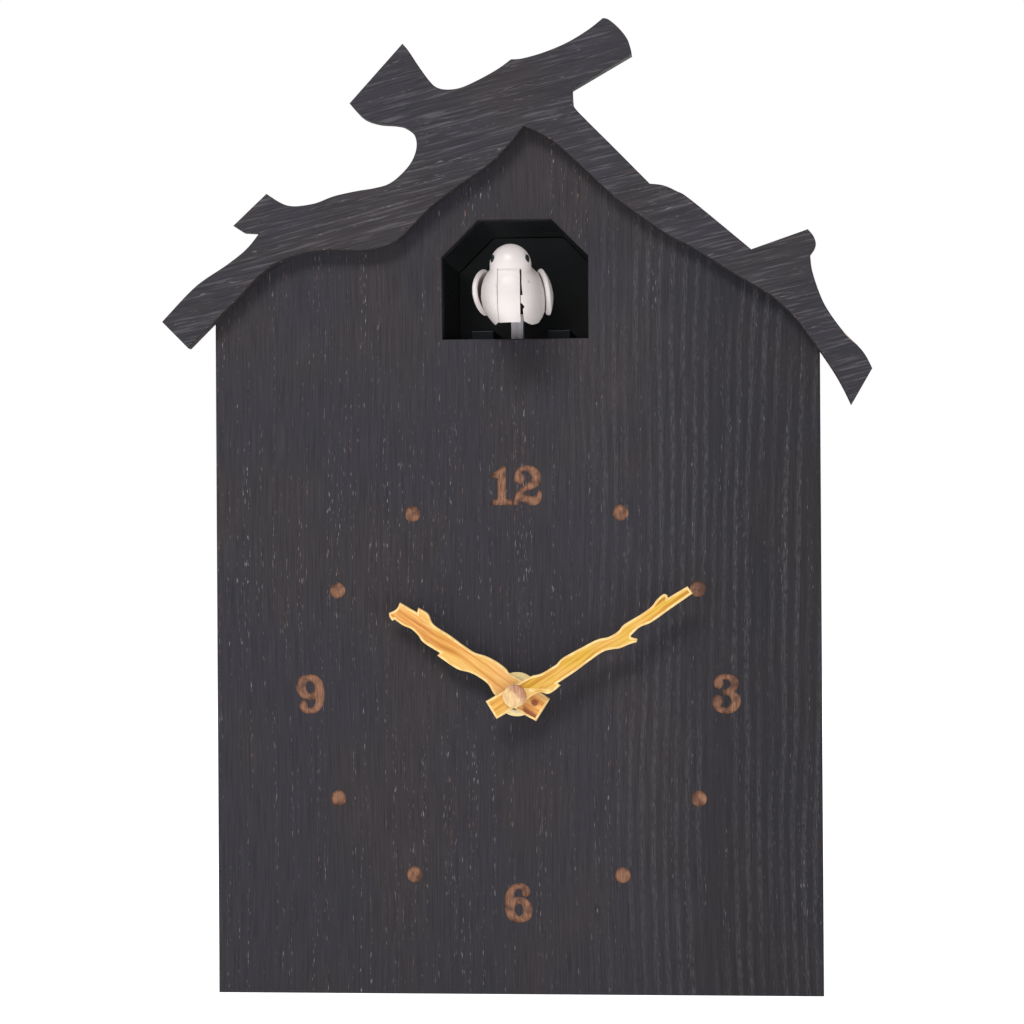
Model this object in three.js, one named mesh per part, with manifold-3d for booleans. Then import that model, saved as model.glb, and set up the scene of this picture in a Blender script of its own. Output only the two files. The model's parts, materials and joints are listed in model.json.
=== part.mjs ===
// Bird-house cuckoo clock with a battery quartz movement.
// Millimetres, +Z up, the dial faces -Y. The origin is on the underside of the
// bottom board, at the middle of the case's footprint.
import * as THREE from 'three';
import { mergeVertices } from 'three/addons/utils/BufferGeometryUtils.js';
import Module from 'manifold-3d';

const wasm = await Module();
wasm.setup();

// ---------------------------------------------------------------- dimensions

const CASE_WIDTH = 165.4;
const CASE_DEPTH = 80;
const BOARD = 6;              // thickness of the case's boards
const PEAK_Z = 239.75;        // top of the gable
const ROOF_SLOPE = 0.61;      // rise of the gable over its run
const BRANCH_THICKNESS = 5;   // the flat branch in front of the gable
const GAP = 0.2;              // glue or running gap between pieces

const PANEL_FRONT = -CASE_DEPTH / 2;
const PANEL_BACK = PANEL_FRONT + BOARD;
const HALF_WIDTH = CASE_WIDTH / 2;
const BOARD_DROP = BOARD * Math.hypot(1, ROOF_SLOPE);   // roof board, measured upright

const DIAL_Z = 81.9;          // height of the hands' axis
const DIAL_RADIUS = 56.9;     // numerals and dots sit on this circle
const NUMERAL_HEIGHT = 10.8;
const DOT_RADIUS = 2.15;
const ENGRAVING = 0.5;

const WINDOW = { half: 20, bottom: 178.8, top: 211.3, chamfer: 10 };
const TUNNEL_BACK = 14;
const TUNNEL_WALL = 1.5;

const BIRD_TRAVEL = 30;
const STEM_Y = PANEL_FRONT + 9;
const RACK_MODULE = 0.8;
const RACK_LINE = 7;          // pitch line of the rack, to the right of the middle
const DRIVE_PINION_TEETH = 10;

const COVER_BACK = 36.8;      // outer face of the back cover
const COVER_FRONT = 34.2;

// ------------------------------------------------------------------ materials

function finish(color, roughness, metalness = 0) {
  return new THREE.MeshStandardMaterial({ color, roughness, metalness });
}

const looks = {
  stainedWood: finish(0x3f3b40, 0.75),
  twigWood: finish(0xe8b860, 0.6),
  whitePlastic: finish(0xe9e2e4, 0.4),
  blackPlastic: finish(0x0c0d10, 0.25),
  mattPlastic: finish(0x1a1a1c, 0.55),
  creamPlastic: finish(0xe9dcc0, 0.45),
  gearPlastic: finish(0xf1eee2, 0.5),
  greenBoard: finish(0x1f5a34, 0.5),
  steel: finish(0xb8babd, 0.35, 1),
  brass: finish(0xc79a45, 0.35, 1),
  copper: finish(0xb5622f, 0.35, 1),
  paper: finish(0x262626, 0.9),
  battery: finish(0x3a6ea5, 0.4),
  lead: finish(0xa02020, 0.5),
};

// ------------------------------------------------------------------- helpers

const clock = new THREE.Group();

function add(name, geometry, material, x = 0, y = 0, z = 0) {
  const mesh = new THREE.Mesh(geometry, material);
  mesh.name = name;
  mesh.position.set(x, y, z);
  clock.add(mesh);
  return mesh;
}

function solid(geometry) {
  const bare = geometry.clone();
  bare.deleteAttribute('normal');
  bare.deleteAttribute('uv');
  const merged = mergeVertices(bare, 1e-4);
  return new wasm.Manifold(new wasm.Mesh({
    numProp: 3,
    vertProperties: new Float32Array(merged.attributes.position.array),
    triVerts: new Uint32Array(merged.index.array),
  }));
}

function geometryOf(manifold) {
  const mesh = manifold.getMesh();
  const geometry = new THREE.BufferGeometry();
  geometry.setAttribute('position', new THREE.BufferAttribute(mesh.vertProperties, 3));
  geometry.setIndex(new THREE.BufferAttribute(mesh.triVerts, 1));
  return geometry;
}

function cut(body, ...tools) {
  const result = tools.reduce((rest, tool) => rest.subtract(solid(tool)), solid(body));
  return geometryOf(result);
}

function join(body, ...others) {
  const result = others.reduce((whole, other) => whole.add(solid(other)), solid(body));
  return geometryOf(result);
}

function common(body, other) {
  return geometryOf(solid(body).intersect(solid(other)));
}

function box(x0, x1, y0, y1, z0, z1) {
  const geometry = new THREE.BoxGeometry(x1 - x0, y1 - y0, z1 - z0);
  return geometry.translate((x0 + x1) / 2, (y0 + y1) / 2, (z0 + z1) / 2);
}

// An upright outline in X and Z, given thickness from y0 to y1.
function slab(shape, y0, y1, curveSegments = 6) {
  const geometry = new THREE.ExtrudeGeometry(shape, {
    depth: y1 - y0, bevelEnabled: false, curveSegments,
  });
  return geometry.rotateX(Math.PI / 2).translate(0, y1, 0);
}

// A plan outline in X and Y, given height from z0 to z1.
function plate(shape, z0, z1, curveSegments = 6) {
  const geometry = new THREE.ExtrudeGeometry(shape, {
    depth: z1 - z0, bevelEnabled: false, curveSegments,
  });
  return geometry.translate(0, 0, z0);
}

// A round bar along Y, from y0 to y1.
function bar(radius, y0, y1, x = 0, z = 0, sides = 16) {
  const geometry = new THREE.CylinderGeometry(radius, radius, y1 - y0, sides);
  return geometry.translate(0, (y0 + y1) / 2, 0).translate(x, 0, z);
}

// A round post along Z, from z0 to z1.
function post(radius, z0, z1, x = 0, y = 0, sides = 16) {
  const geometry = new THREE.CylinderGeometry(radius, radius, z1 - z0, sides);
  return geometry.rotateX(Math.PI / 2).translate(x, y, (z0 + z1) / 2);
}

// A turned piece about Y, from its profile of [radius, height] points.
function turned(profile, sides = 16) {
  const points = profile.map(([radius, height]) => new THREE.Vector2(radius, height));
  if (THREE.ShapeUtils.isClockWise(points)) {
    points.reverse();
  }
  return new THREE.LatheGeometry(points, sides);
}

function polygon(points) {
  return new THREE.Shape(points.map(([x, y]) => new THREE.Vector2(x, y)));
}

// Each stretch starts where the last one ended. Two points make a straight
// cut, and more make a smooth curve.
function outline(stretches) {
  const shape = new THREE.Shape();
  shape.moveTo(...stretches[0][0]);
  for (const stretch of stretches) {
    const points = stretch.slice(1).map(([x, y]) => new THREE.Vector2(x, y));
    if (points.length === 1) {
      shape.lineTo(points[0].x, points[0].y);
    } else {
      shape.splineThru(points);
    }
  }
  return shape;
}

function roundedBox(half, halfHeight, radius) {
  const shape = new THREE.Shape();
  const x = half - radius;
  const y = halfHeight - radius;
  shape.absarc(x, y, radius, 0, Math.PI / 2);
  shape.absarc(-x, y, radius, Math.PI / 2, Math.PI);
  shape.absarc(-x, -y, radius, Math.PI, Math.PI * 1.5);
  shape.absarc(x, -y, radius, Math.PI * 1.5, Math.PI * 2);
  return shape;
}

// ------------------------------------------------------------------------ case

// The gable outline of the case, drawn in by an inset on every side.
function gable(inset, bottom = inset) {
  const half = HALF_WIDTH - inset;
  const peak = PEAK_Z - inset * Math.hypot(1, ROOF_SLOPE);
  const eaves = peak - half * ROOF_SLOPE;
  return polygon([[-half, bottom], [half, bottom], [half, eaves], [0, peak], [-half, eaves]]);
}

function windowOutline(grow = 0) {
  const half = WINDOW.half + grow;
  const top = WINDOW.top + grow;
  const bottom = WINDOW.bottom - grow;
  const cutBack = WINDOW.chamfer + grow * (2 - Math.SQRT2);
  return polygon([
    [-half, bottom], [half, bottom], [half, top - cutBack],
    [half - cutBack, top], [-half + cutBack, top], [-half, top - cutBack],
  ]);
}

// Numerals are drawn in hundredths of their height, about their middle.
const SIX = [
  [[1, 50], [14, 48], [25, 40], [29, 30], [27, 21], [19, 15], [11, 18], [7, 25], [8, 32]],
  [[8, 32], [1, 35], [-6, 32], [-11, 21], [-13, 12]],
  [[-13, 12], [-3, 15], [5, 15], [16, 12], [27, 4], [35, -10], [36, -21], [32, -35], [22, -46],
    [1, -50], [-18, -46], [-30, -33], [-35, -12], [-36, 5], [-33, 24], [-24, 39], [-12, 47],
    [1, 50]],
];
const THREE_FIGURE = [
  [[0, 50], [16, 46], [27, 38], [31, 25], [27, 14], [19, 5]],
  [[19, 5], [29, -1], [35, -14], [34, -27], [27, -39], [14, -48], [-1, -50], [-18, -47],
    [-30, -37], [-35, -22], [-32, -8], [-23, -2], [-12, -8], [-9, -20], [-15, -31]],
  [[-15, -31], [-7, -34], [3, -33], [10, -25], [12, -15], [7, -6], [-1, -4], [-10, -5]],
  [[-10, -5], [-10, 12]],
  [[-10, 12], [0, 12], [7, 18], [10, 25], [6, 33], [-2, 36], [-10, 35]],
  [[-10, 35], [-8, 25], [-13, 15], [-21, 12], [-30, 18], [-33, 28], [-28, 40], [-16, 47],
    [0, 50]],
];
const ONE = [
  [[-31, 50], [-26, 50]], [[-26, 50], [-26, -35]], [[-26, -35], [-11, -36]],
  [[-11, -36], [-10, -50]], [[-10, -50], [-65, -50]], [[-65, -50], [-62, -36]],
  [[-62, -36], [-47, -35]], [[-47, -35], [-47, 18]], [[-47, 18], [-62, 19]],
  [[-62, 19], [-65, 29]], [[-65, 29], [-49, 37], [-31, 50]],
];
const TWO = [
  [[27, 50], [43, 48], [59, 35], [64, 17], [59, 1], [45, -8], [27, -14], [17, -21]],
  [[17, -21], [29, -24], [41, -28], [51, -23], [54, -14]],
  [[54, -14], [62, -11]],
  [[62, -11], [65, -24], [62, -40], [51, -50], [35, -50], [19, -43], [8, -41], [5, -50]],
  [[5, -50], [-7, -50]],
  [[-7, -50], [-7, -36], [0, -20], [12, -6], [27, 4], [36, 12], [38, 23], [31, 33], [19, 36],
    [13, 33]],
  [[13, 33], [21, 19], [18, 7], [9, 2], [-2, 8], [-5, 21], [0, 37], [12, 47], [27, 50]],
];

function hourPlace(hour) {
  const angle = hour * Math.PI / 6;
  return [DIAL_RADIUS * Math.sin(angle), DIAL_Z + DIAL_RADIUS * Math.cos(angle)];
}

function figure(stretches, hour, counterMiddle = null) {
  const shape = outline(stretches);
  if (counterMiddle) {
    const counter = new THREE.Path();
    counter.absellipse(...counterMiddle, 10.5, 15.5, 0, Math.PI * 2);
    shape.holes.push(counter);
  }
  const scale = NUMERAL_HEIGHT / 100;
  const [x, z] = hourPlace(hour);
  const geometry = slab(shape, -ENGRAVING, ENGRAVING, 1);
  return geometry.scale(scale, 1, scale).translate(x, PANEL_FRONT, z);
}

function halfTurned(stretches) {
  return stretches.map((stretch) => stretch.map(([x, y]) => [-x, -y]));
}

function dot(hour) {
  const [x, z] = hourPlace(hour);
  return bar(DOT_RADIUS, PANEL_FRONT - ENGRAVING, PANEL_FRONT + ENGRAVING, x, z, 12);
}

function frontPanel() {
  const panel = slab(gable(0), PANEL_FRONT, PANEL_BACK);
  const opening = slab(windowOutline(), PANEL_FRONT - 1, PANEL_BACK + 1);
  const shaftHole = bar(4.3, PANEL_FRONT - 1, PANEL_BACK + 1, 0, DIAL_Z);
  const dots = [1, 2, 4, 5, 7, 8, 10, 11].map(dot);
  const figures = [
    figure(ONE, 12), figure(TWO, 12), figure(THREE_FIGURE, 3),
    figure(SIX, 6, [1, -18]), figure(halfTurned(SIX), 9, [-1, 18]),
  ];
  return cut(panel, opening, shaftHole, ...dots, ...figures);
}

const BRANCH = [
  [[-96.5, 184.1], [-95.3, 185.5], [-87.1, 193.8], [-78.6, 199.5], [-73.2, 203.7], [-69.5, 208.1]],
  [[-69.5, 208.1], [-74, 208.4]],
  [[-74, 208.4], [-76.7, 210.2]],
  [[-76.7, 210.2], [-67.5, 218.8]],
  [[-67.5, 218.8], [-61.6, 215.5], [-54.7, 215.9], [-48.9, 217.9], [-42.6, 219.2], [-37.9, 219.9],
    [-33.7, 221.1], [-30, 224], [-27.4, 227.3], [-26.2, 231], [-26.8, 234.2], [-29.4, 236.4],
    [-32, 237.1], [-36.8, 237.6], [-40.9, 239.2], [-44.5, 243.1]],
  [[-44.5, 243.1], [-29.9, 259.1]],
  [[-29.9, 259.1], [-28.3, 257.2], [-25.7, 253.2], [-22.6, 248.9], [-20.5, 247], [-17.6, 246.4],
    [-13.9, 246.9], [-9.2, 248.9], [-4, 251.7], [-0.3, 254.3]],
  [[-0.3, 254.3], [2.8, 254.5], [8.5, 256], [14.8, 258.5], [20.5, 261.8], [24.7, 265]],
  [[24.7, 265], [26.2, 264.6], [28.8, 262.4], [31.1, 259.5], [32.1, 256.8], [32.4, 255]],
  [[32.4, 255], [16.3, 245.8]],
  [[16.3, 245.8], [16.4, 242.9], [17, 240.8], [20.4, 237.1], [27, 230.4], [37.1, 220]],
  [[37.1, 220], [40.7, 219.5], [44.3, 217.9], [48.4, 215.3], [64.3, 201.9]],
  [[64.3, 201.9], [79.5, 207.1]],
  [[79.5, 207.1], [80.9, 205.4], [81.6, 203.5], [81.4, 202], [80.1, 200.1]],
  [[80.1, 200.1], [80.6, 196], [82.4, 190.2], [84.6, 185.5], [88.7, 179.7], [92.8, 175.5],
    [94.8, 172.9], [96.5, 169.5]],
  [[96.5, 169.5], [90.9, 159.8]],
  [[90.9, 159.8], [88.6, 164.6], [85.6, 169.8], [80, 178], [75.4, 184], [69.3, 189.6],
    [60.1, 195.2], [48.3, 202.7], [42.4, 205.8], [34.7, 211.1], [27, 217], [19.2, 224.5],
    [11.5, 231.5], [6.3, 234.7], [3, 236.1]],
  [[3, 236.1], [-1.5, 230.6], [-6.7, 225.7], [-14.6, 220.3], [-22.3, 214.6], [-29.6, 207.3],
    [-33.3, 204.7], [-37.5, 203.5], [-41.7, 203], [-50.6, 203.3], [-56.4, 202.7], [-61.1, 201.4],
    [-65.9, 199.3], [-70.1, 196], [-74.4, 191.5], [-80.7, 185.3], [-89.3, 176.8]],
  [[-89.3, 176.8], [-96.5, 184.1]],
];

function roofBranch() {
  const front = PANEL_FRONT - GAP - BRANCH_THICKNESS;
  return slab(outline(BRANCH), front, PANEL_FRONT - GAP, 1);
}

function sideWall(side) {
  const outer = HALF_WIDTH * side;
  const inner = (HALF_WIDTH - BOARD) * side;
  const under = PEAK_Z - BOARD_DROP - GAP;
  const shape = polygon([
    [outer, 0], [inner, 0],
    [inner, under - Math.abs(inner) * ROOF_SLOPE], [outer, under - HALF_WIDTH * ROOF_SLOPE],
  ]);
  return slab(shape, PANEL_BACK + GAP, CASE_DEPTH / 2);
}

function roofBoard(side) {
  const outer = HALF_WIDTH * side;
  const joint = GAP / 2 * side;
  const eaves = PEAK_Z - HALF_WIDTH * ROOF_SLOPE;
  const shape = polygon([
    [joint, PEAK_Z - GAP], [outer, eaves], [outer, eaves - BOARD_DROP],
    [joint, PEAK_Z - GAP - BOARD_DROP],
  ]);
  return slab(shape, PANEL_BACK + GAP, CASE_DEPTH / 2);
}

function bottomPanel() {
  const half = HALF_WIDTH - BOARD - GAP;
  return box(-half, half, PANEL_BACK + GAP, CASE_DEPTH / 2, 0, BOARD);
}

add('front_panel', frontPanel(), looks.stainedWood);
add('roof_branch_plate', roofBranch(), looks.stainedWood);
add('left_wall', sideWall(-1), looks.stainedWood);
add('right_wall', sideWall(1), looks.stainedWood);
add('left_roof_board', roofBoard(-1), looks.stainedWood);
add('right_roof_board', roofBoard(1), looks.stainedWood);
add('bottom_panel', bottomPanel(), looks.stainedWood);

// ------------------------------------------------------------------ back cover

const ACCESS = { half: 33, bottom: 63, top: 116 };      // hand hole behind the movement
const BATTERY_BAY = { half: 28.5, bottom: 9, top: 57 };
const SPEAKER = { x: 0, z: 146 };
const CONTROLS_X = -54;
const SLIDER_Z = 155;
const BUTTON_Z = 137;
const KEYHOLE_Z = 197;
const COVER_SCREWS = [[-70, 13], [70, 13], [-70, 172], [70, 172]];
const SCREW_BOSS_RADIUS = 4.5;

function keyhole(y0, y1) {
  const shape = new THREE.Shape();
  shape.absarc(0, KEYHOLE_Z, 4.5, Math.PI * 0.65, Math.PI * 2.35);
  shape.lineTo(2.2, KEYHOLE_Z + 11);
  shape.lineTo(-2.2, KEYHOLE_Z + 11);
  return slab(shape, y0, y1, 12);
}

function backCover() {
  const whole = slab(gable(BOARD + 0.3, BOARD + 0.3), COVER_FRONT, COVER_BACK);
  const through = [COVER_FRONT - 1, COVER_BACK + 1];
  const bosses = COVER_SCREWS.map(([x, z]) => (
    bar(SCREW_BOSS_RADIUS, COVER_FRONT - 9, COVER_FRONT + 1, x, z, 12)
  ));
  const boardPosts = [[-67, 128], [-41, 128], [-67, 164], [-41, 164]].map(([x, z]) => (
    bar(2.2, COVER_FRONT - 4, COVER_FRONT + 1, x, z, 8)
  ));
  const screwHoles = COVER_SCREWS.map(([x, z]) => (
    bar(1.9, COVER_FRONT - 10, COVER_BACK + 1, x, z, 10)
  ));
  const slots = [-12, -8, -4, 0, 4, 8, 12].map((x) => {
    const half = Math.sqrt(15 ** 2 - x ** 2);
    return box(x - 1, x + 1, ...through, SPEAKER.z - half, SPEAKER.z + half);
  });
  const openings = [
    box(-ACCESS.half, ACCESS.half, ...through, ACCESS.bottom, ACCESS.top),
    box(-BATTERY_BAY.half, BATTERY_BAY.half, ...through, BATTERY_BAY.bottom, BATTERY_BAY.top),
    box(CONTROLS_X - 2, CONTROLS_X + 2, ...through, SLIDER_Z - 6, SLIDER_Z + 6),
    bar(3.3, ...through, CONTROLS_X, BUTTON_Z),
    keyhole(...through),
  ];
  return cut(join(whole, ...bosses, ...boardPosts), ...screwHoles, ...slots, ...openings);
}

function coverScrew() {
  const head = turned([[0, 0.3], [3.2, 0.3], [3.2, 1], [2.2, 2], [0, 2.3]], 12);
  const shank = bar(1.5, -17, 1);
  const crossCut = box(-0.4, 0.4, 1.4, 3, -2, 2);
  const otherCut = box(-2, 2, 1.4, 3, -0.4, 0.4);
  return cut(join(head, shank), crossCut, otherCut);
}

function hangerPlate() {
  const y0 = COVER_FRONT - GAP - 1;
  const shape = roundedBox(13, 15, 4);
  const tab = slab(shape, y0, COVER_FRONT - GAP, 4).translate(0, 0, KEYHOLE_Z + 3);
  return cut(tab, keyhole(y0 - 1, COVER_FRONT + 1));
}

add('back_cover', backCover(), looks.mattPlastic);
COVER_SCREWS.forEach(([x, z], index) => {
  add(`back_screw_${index + 1}`, coverScrew(), looks.steel, x, COVER_BACK, z);
});
add('hanger_plate', hangerPlate(), looks.steel);

// -------------------------------------------------------- window and bird stage

const SLOT_HALF = 2.6;        // slot that the bird's stem runs in
const SLOT_BACK = STEM_Y + BIRD_TRAVEL + 4;

function windowTunnel() {
  const front = PANEL_BACK + GAP;
  const outer = slab(windowOutline(TUNNEL_WALL + 0.2), front, TUNNEL_BACK);
  const inner = slab(windowOutline(0.2), front - 1, TUNNEL_BACK - TUNNEL_WALL);
  const { bottom } = WINDOW;
  const slot = box(-SLOT_HALF, SLOT_HALF, front - 1, SLOT_BACK, bottom - 3, bottom + 1);
  return cut(outer, inner, slot);
}

// Two raised rails beside the stem's slot.
function stageDeck() {
  const base = WINDOW.bottom - 0.2 + GAP;
  const floor = box(-14, 14, -20, TUNNEL_BACK - 2, base, base + 1);
  const left = box(-14, -7.5, -20, TUNNEL_BACK - 2, base, base + 3.6);
  const right = box(7.5, 14, -20, TUNNEL_BACK - 2, base, base + 3.6);
  const slot = box(-SLOT_HALF, SLOT_HALF, -21, SLOT_BACK, base - 1, base + 2);
  return cut(join(floor, left, right), slot);
}

const CARRIAGE = { bottom: 171.2, top: 176.3, front: STEM_Y - 2, length: 37 };
const DRIVE_X = RACK_LINE + RACK_MODULE * DRIVE_PINION_TEETH / 2;
const REDUCTION_MODULE = 0.5;
const REDUCTION_TEETH = 30;
const MOTOR_PINION_TEETH = 8;
const MOTOR_X = DRIVE_X + REDUCTION_MODULE * (REDUCTION_TEETH + MOTOR_PINION_TEETH) / 2;

function carriageGuide() {
  const deck = box(-12, 30, PANEL_BACK + 0.4, 33.5, 168.9, 170.9);
  const leftRib = box(-12, -7.2, PANEL_BACK + 0.4, 33.5, 169, 176.4);
  const rightRib = box(8.1, 10, PANEL_BACK + 0.4, -8, 169, 176.4);
  const legs = [-11, 9].map((y) => box(26, 30, y - 1.5, y + 1.5, 159, 170));
  const motorPlate = box(10, 30, -12.5, 10.5, 158, 160);
  const bearingHole = post(1.9, 168, 172, DRIVE_X, 0, 12);
  const motorHole = post(2, 157, 161, MOTOR_X, 0, 12);
  return cut(join(deck, leftRib, rightRib, ...legs, motorPlate), bearingHole, motorHole);
}

// Straight-sided teeth around a wheel, one of them centred on angle zero.
function gearShape(teeth, module, boreRadius = 0) {
  const pitchRadius = teeth * module / 2;
  const tip = pitchRadius + 0.75 * module;
  const root = pitchRadius - 1.15 * module;
  const step = Math.PI * 2 / teeth;
  const points = [];
  for (let index = 0; index < teeth; index += 1) {
    const middle = index * step;
    const corners = [[root, -0.29], [tip, -0.1], [tip, 0.1], [root, 0.29]];
    for (const [radius, share] of corners) {
      const angle = middle + share * step;
      points.push([radius * Math.cos(angle), radius * Math.sin(angle)]);
    }
  }
  const shape = polygon(points);
  if (boreRadius > 0) {
    const bore = new THREE.Path();
    bore.absarc(0, 0, boreRadius, 0, Math.PI * 2);
    shape.holes.push(bore);
  }
  return shape;
}

// The angle that puts a gap of the second wheel against a tooth of the first,
// which has its own teeth turned by firstTurn. direction runs from first to second.
function meshTurn(firstTeeth, secondTeeth, module, direction, firstTurn) {
  const pitch = Math.PI * module;
  const along = firstTeeth * module / 2 * (direction - firstTurn);
  const offset = -(((along % pitch) + pitch) % pitch);
  return direction + Math.PI - (offset + pitch / 2) / (secondTeeth * module / 2);
}

function birdCarriage() {
  const { bottom, top, front, length } = CARRIAGE;
  const pitch = Math.PI * RACK_MODULE;
  const back = front + length;
  const rootLine = RACK_LINE - 1.15 * RACK_MODULE;
  const tipLine = RACK_LINE + 0.75 * RACK_MODULE;
  const points = [[-6.8, front], [rootLine, front]];
  for (let index = Math.ceil((front + 1) / pitch); index * pitch < back - 1; index += 1) {
    const middle = index * pitch;
    points.push([rootLine, middle - 0.29 * pitch], [tipLine, middle - 0.1 * pitch]);
    points.push([tipLine, middle + 0.1 * pitch], [rootLine, middle + 0.29 * pitch]);
  }
  points.push([rootLine, back], [-6.8, back]);
  const socket = box(-1.9, 1.9, STEM_Y - 1.9, STEM_Y + 1.9, top - 3, top + 1);
  return cut(plate(polygon(points), bottom, top), socket);
}

function reductionGear() {
  const pinion = plate(gearShape(DRIVE_PINION_TEETH, RACK_MODULE), 171.2, 176);
  const wheel = plate(gearShape(REDUCTION_TEETH, REDUCTION_MODULE), 164.5, 166.7);
  const shaft = post(1.7, 162, 176.4, 0, 0, 12);
  pinion.rotateZ(Math.PI + Math.PI / DRIVE_PINION_TEETH);
  return join(shaft, pinion, wheel);
}

function motorPinion() {
  const teeth = plate(gearShape(MOTOR_PINION_TEETH, REDUCTION_MODULE), 164, 167);
  teeth.rotateZ(Math.PI + Math.PI / MOTOR_PINION_TEETH);
  return cut(teeth, post(0.75, 163, 166, 0, 0, 8));
}

function birdMotor() {
  const can = post(7.6, 139, 157.7, 0, 0, 20);
  const boss = post(1.8, 157, 159.2, 0, 0, 12);
  const shaft = post(0.55, 150, 165.7, 0, 0, 8);
  const tags = [-4, 4].map((y) => box(-1, 1, y - 0.3, y + 0.3, 136, 140));
  return join(can, boss, shaft, ...tags);
}

add('window_tunnel', windowTunnel(), looks.blackPlastic);
add('stage_deck', stageDeck(), looks.blackPlastic);
add('carriage_guide', carriageGuide(), looks.mattPlastic);
add('bird_carriage', birdCarriage(), looks.gearPlastic);
add('reduction_gear', reductionGear(), looks.gearPlastic, DRIVE_X, 0, 0);
add('motor_pinion', motorPinion(), looks.brass, MOTOR_X, 0, 0);
add('bird_motor', birdMotor(), looks.steel, MOTOR_X, 0, 0);

// ------------------------------------------------------------------------ bird

const HEAD_Y = PANEL_FRONT - 17;
const BODY = { y: -46, z: 190.6, halfWidth: 8.8, halfLength: 17, halfHeight: 9.2 };

function ball(rx, ry, rz, x, y, z, around = 20, up = 12) {
  const sphere = new THREE.SphereGeometry(1, around, up);
  return sphere.rotateX(Math.PI / 2).scale(rx, ry, rz).translate(x, y, z);
}

function bodyShell(side) {
  const { y, z, halfWidth, halfLength, halfHeight } = BODY;
  const outer = ball(halfWidth, halfLength, halfHeight, 0, y, z);
  const inner = ball(halfWidth - 1, halfLength - 1.2, halfHeight - 1, 0, y, z);
  const half = side < 0 ? box(-0.2, 20, -80, 0, 160, 220) : box(-20, 0.2, -80, 0, 160, 220);
  const breastGap = box(-3.3, 3.3, -70, y - 2, 175, 200);
  const headGap = ball(7.3, 8, 7.3, 0, HEAD_Y, 197.6);
  const stemGap = box(-2.1, 2.1, STEM_Y - 3.4, STEM_Y + 3.4, 170, 200);
  return cut(outer, inner, half, breastGap, headGap, stemGap);
}

// A round cap, open below like a visor.
function birdHead() {
  const outer = ball(5.9, 6.6, 6, 0, HEAD_Y, 197.4);
  const inner = ball(4.9, 5.6, 5, 0, HEAD_Y, 197.4);
  const below = box(-10, 10, -80, -40, 180, 196);
  const neck = box(-2.9, 2.9, HEAD_Y + 2, HEAD_Y + 6, 197.5, 201);
  return join(cut(outer, inner, below), common(neck, outer));
}

function beakLever() {
  const outer = ball(3, BODY.halfLength - 0.3, BODY.halfHeight - 0.2, 0, BODY.y, BODY.z);
  const inner = ball(4, BODY.halfLength - 1.7, BODY.halfHeight - 1.5, 0, BODY.y, BODY.z);
  const front = box(-2.9, 2.9, -70, -53.5, 175, 195.4);
  return cut(common(outer, front), inner);
}

function wing() {
  const outer = ball(10.6, 10, 8.6, 0, BODY.y + 3, 190.6);
  const inner = ball(9.6, 11, 9.6, 0, BODY.y + 3, 190.6);
  const keep = box(9, 12, -60, -30, 184, 196);
  return common(cut(outer, inner), keep);
}

function mirrored(geometry) {
  const copy = geometry.clone().scale(-1, 1, 1);
  const order = copy.index.array;
  for (let index = 0; index < order.length; index += 3) {
    [order[index], order[index + 1]] = [order[index + 1], order[index]];
  }
  return copy;
}

function birdStem() {
  return box(-1.65, 1.65, STEM_Y - 1.65, STEM_Y + 1.65, CARRIAGE.top - 2.7, 189);
}

add('left_shell', bodyShell(-1), looks.whitePlastic);
add('right_shell', bodyShell(1), looks.whitePlastic);
add('bird_head', birdHead(), looks.whitePlastic);
add('beak_lever', beakLever(), looks.whitePlastic);
add('right_wing', wing(), looks.whitePlastic);
add('left_wing', mirrored(wing()), looks.whitePlastic);
add('bird_stem', birdStem(), looks.whitePlastic);

// ----------------------------------------------------------------------- hands

// The hands are twigs cut from thin board, drawn about the axis that they turn on.
const HOUR_TWIG = [
  [[-34.4, 22.4], [-32.4, 23.4], [-31.4, 25.2]],
  [[-31.4, 25.2], [-26.7, 22.5]],
  [[-26.7, 22.5], [-26.4, 23.8]],
  [[-26.4, 23.8], [-25.6, 23.4]],
  [[-25.6, 23.4], [-23.6, 22], [-22.2, 19.2], [-17.7, 16.2], [-14.2, 13.6], [-11.1, 11.6],
    [-8, 10.6], [-4.9, 9], [-2.5, 7.1], [-1.4, 5.8], [3.2, 3.2], [7.3, 0.5], [9.3, -1]],
  [[9.3, -1], [5.5, -7]],
  [[5.5, -7], [2.4, -5.3], [-1.8, -2.6], [-5.6, 0], [-7.4, 2.9], [-9.8, 4.8], [-12.5, 6.2],
    [-16, 7.2], [-21.3, 10.8]],
  [[-21.3, 10.8], [-20.5, 11.5]],
  [[-20.5, 11.5], [-25, 14.3], [-26.4, 16.2], [-28.3, 18], [-30.6, 19], [-32.8, 20.6]],
  [[-32.8, 20.6], [-33.5, 20.3]],
  [[-33.5, 20.3], [-34.2, 21.2], [-34.4, 22.4]],
];
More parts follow.
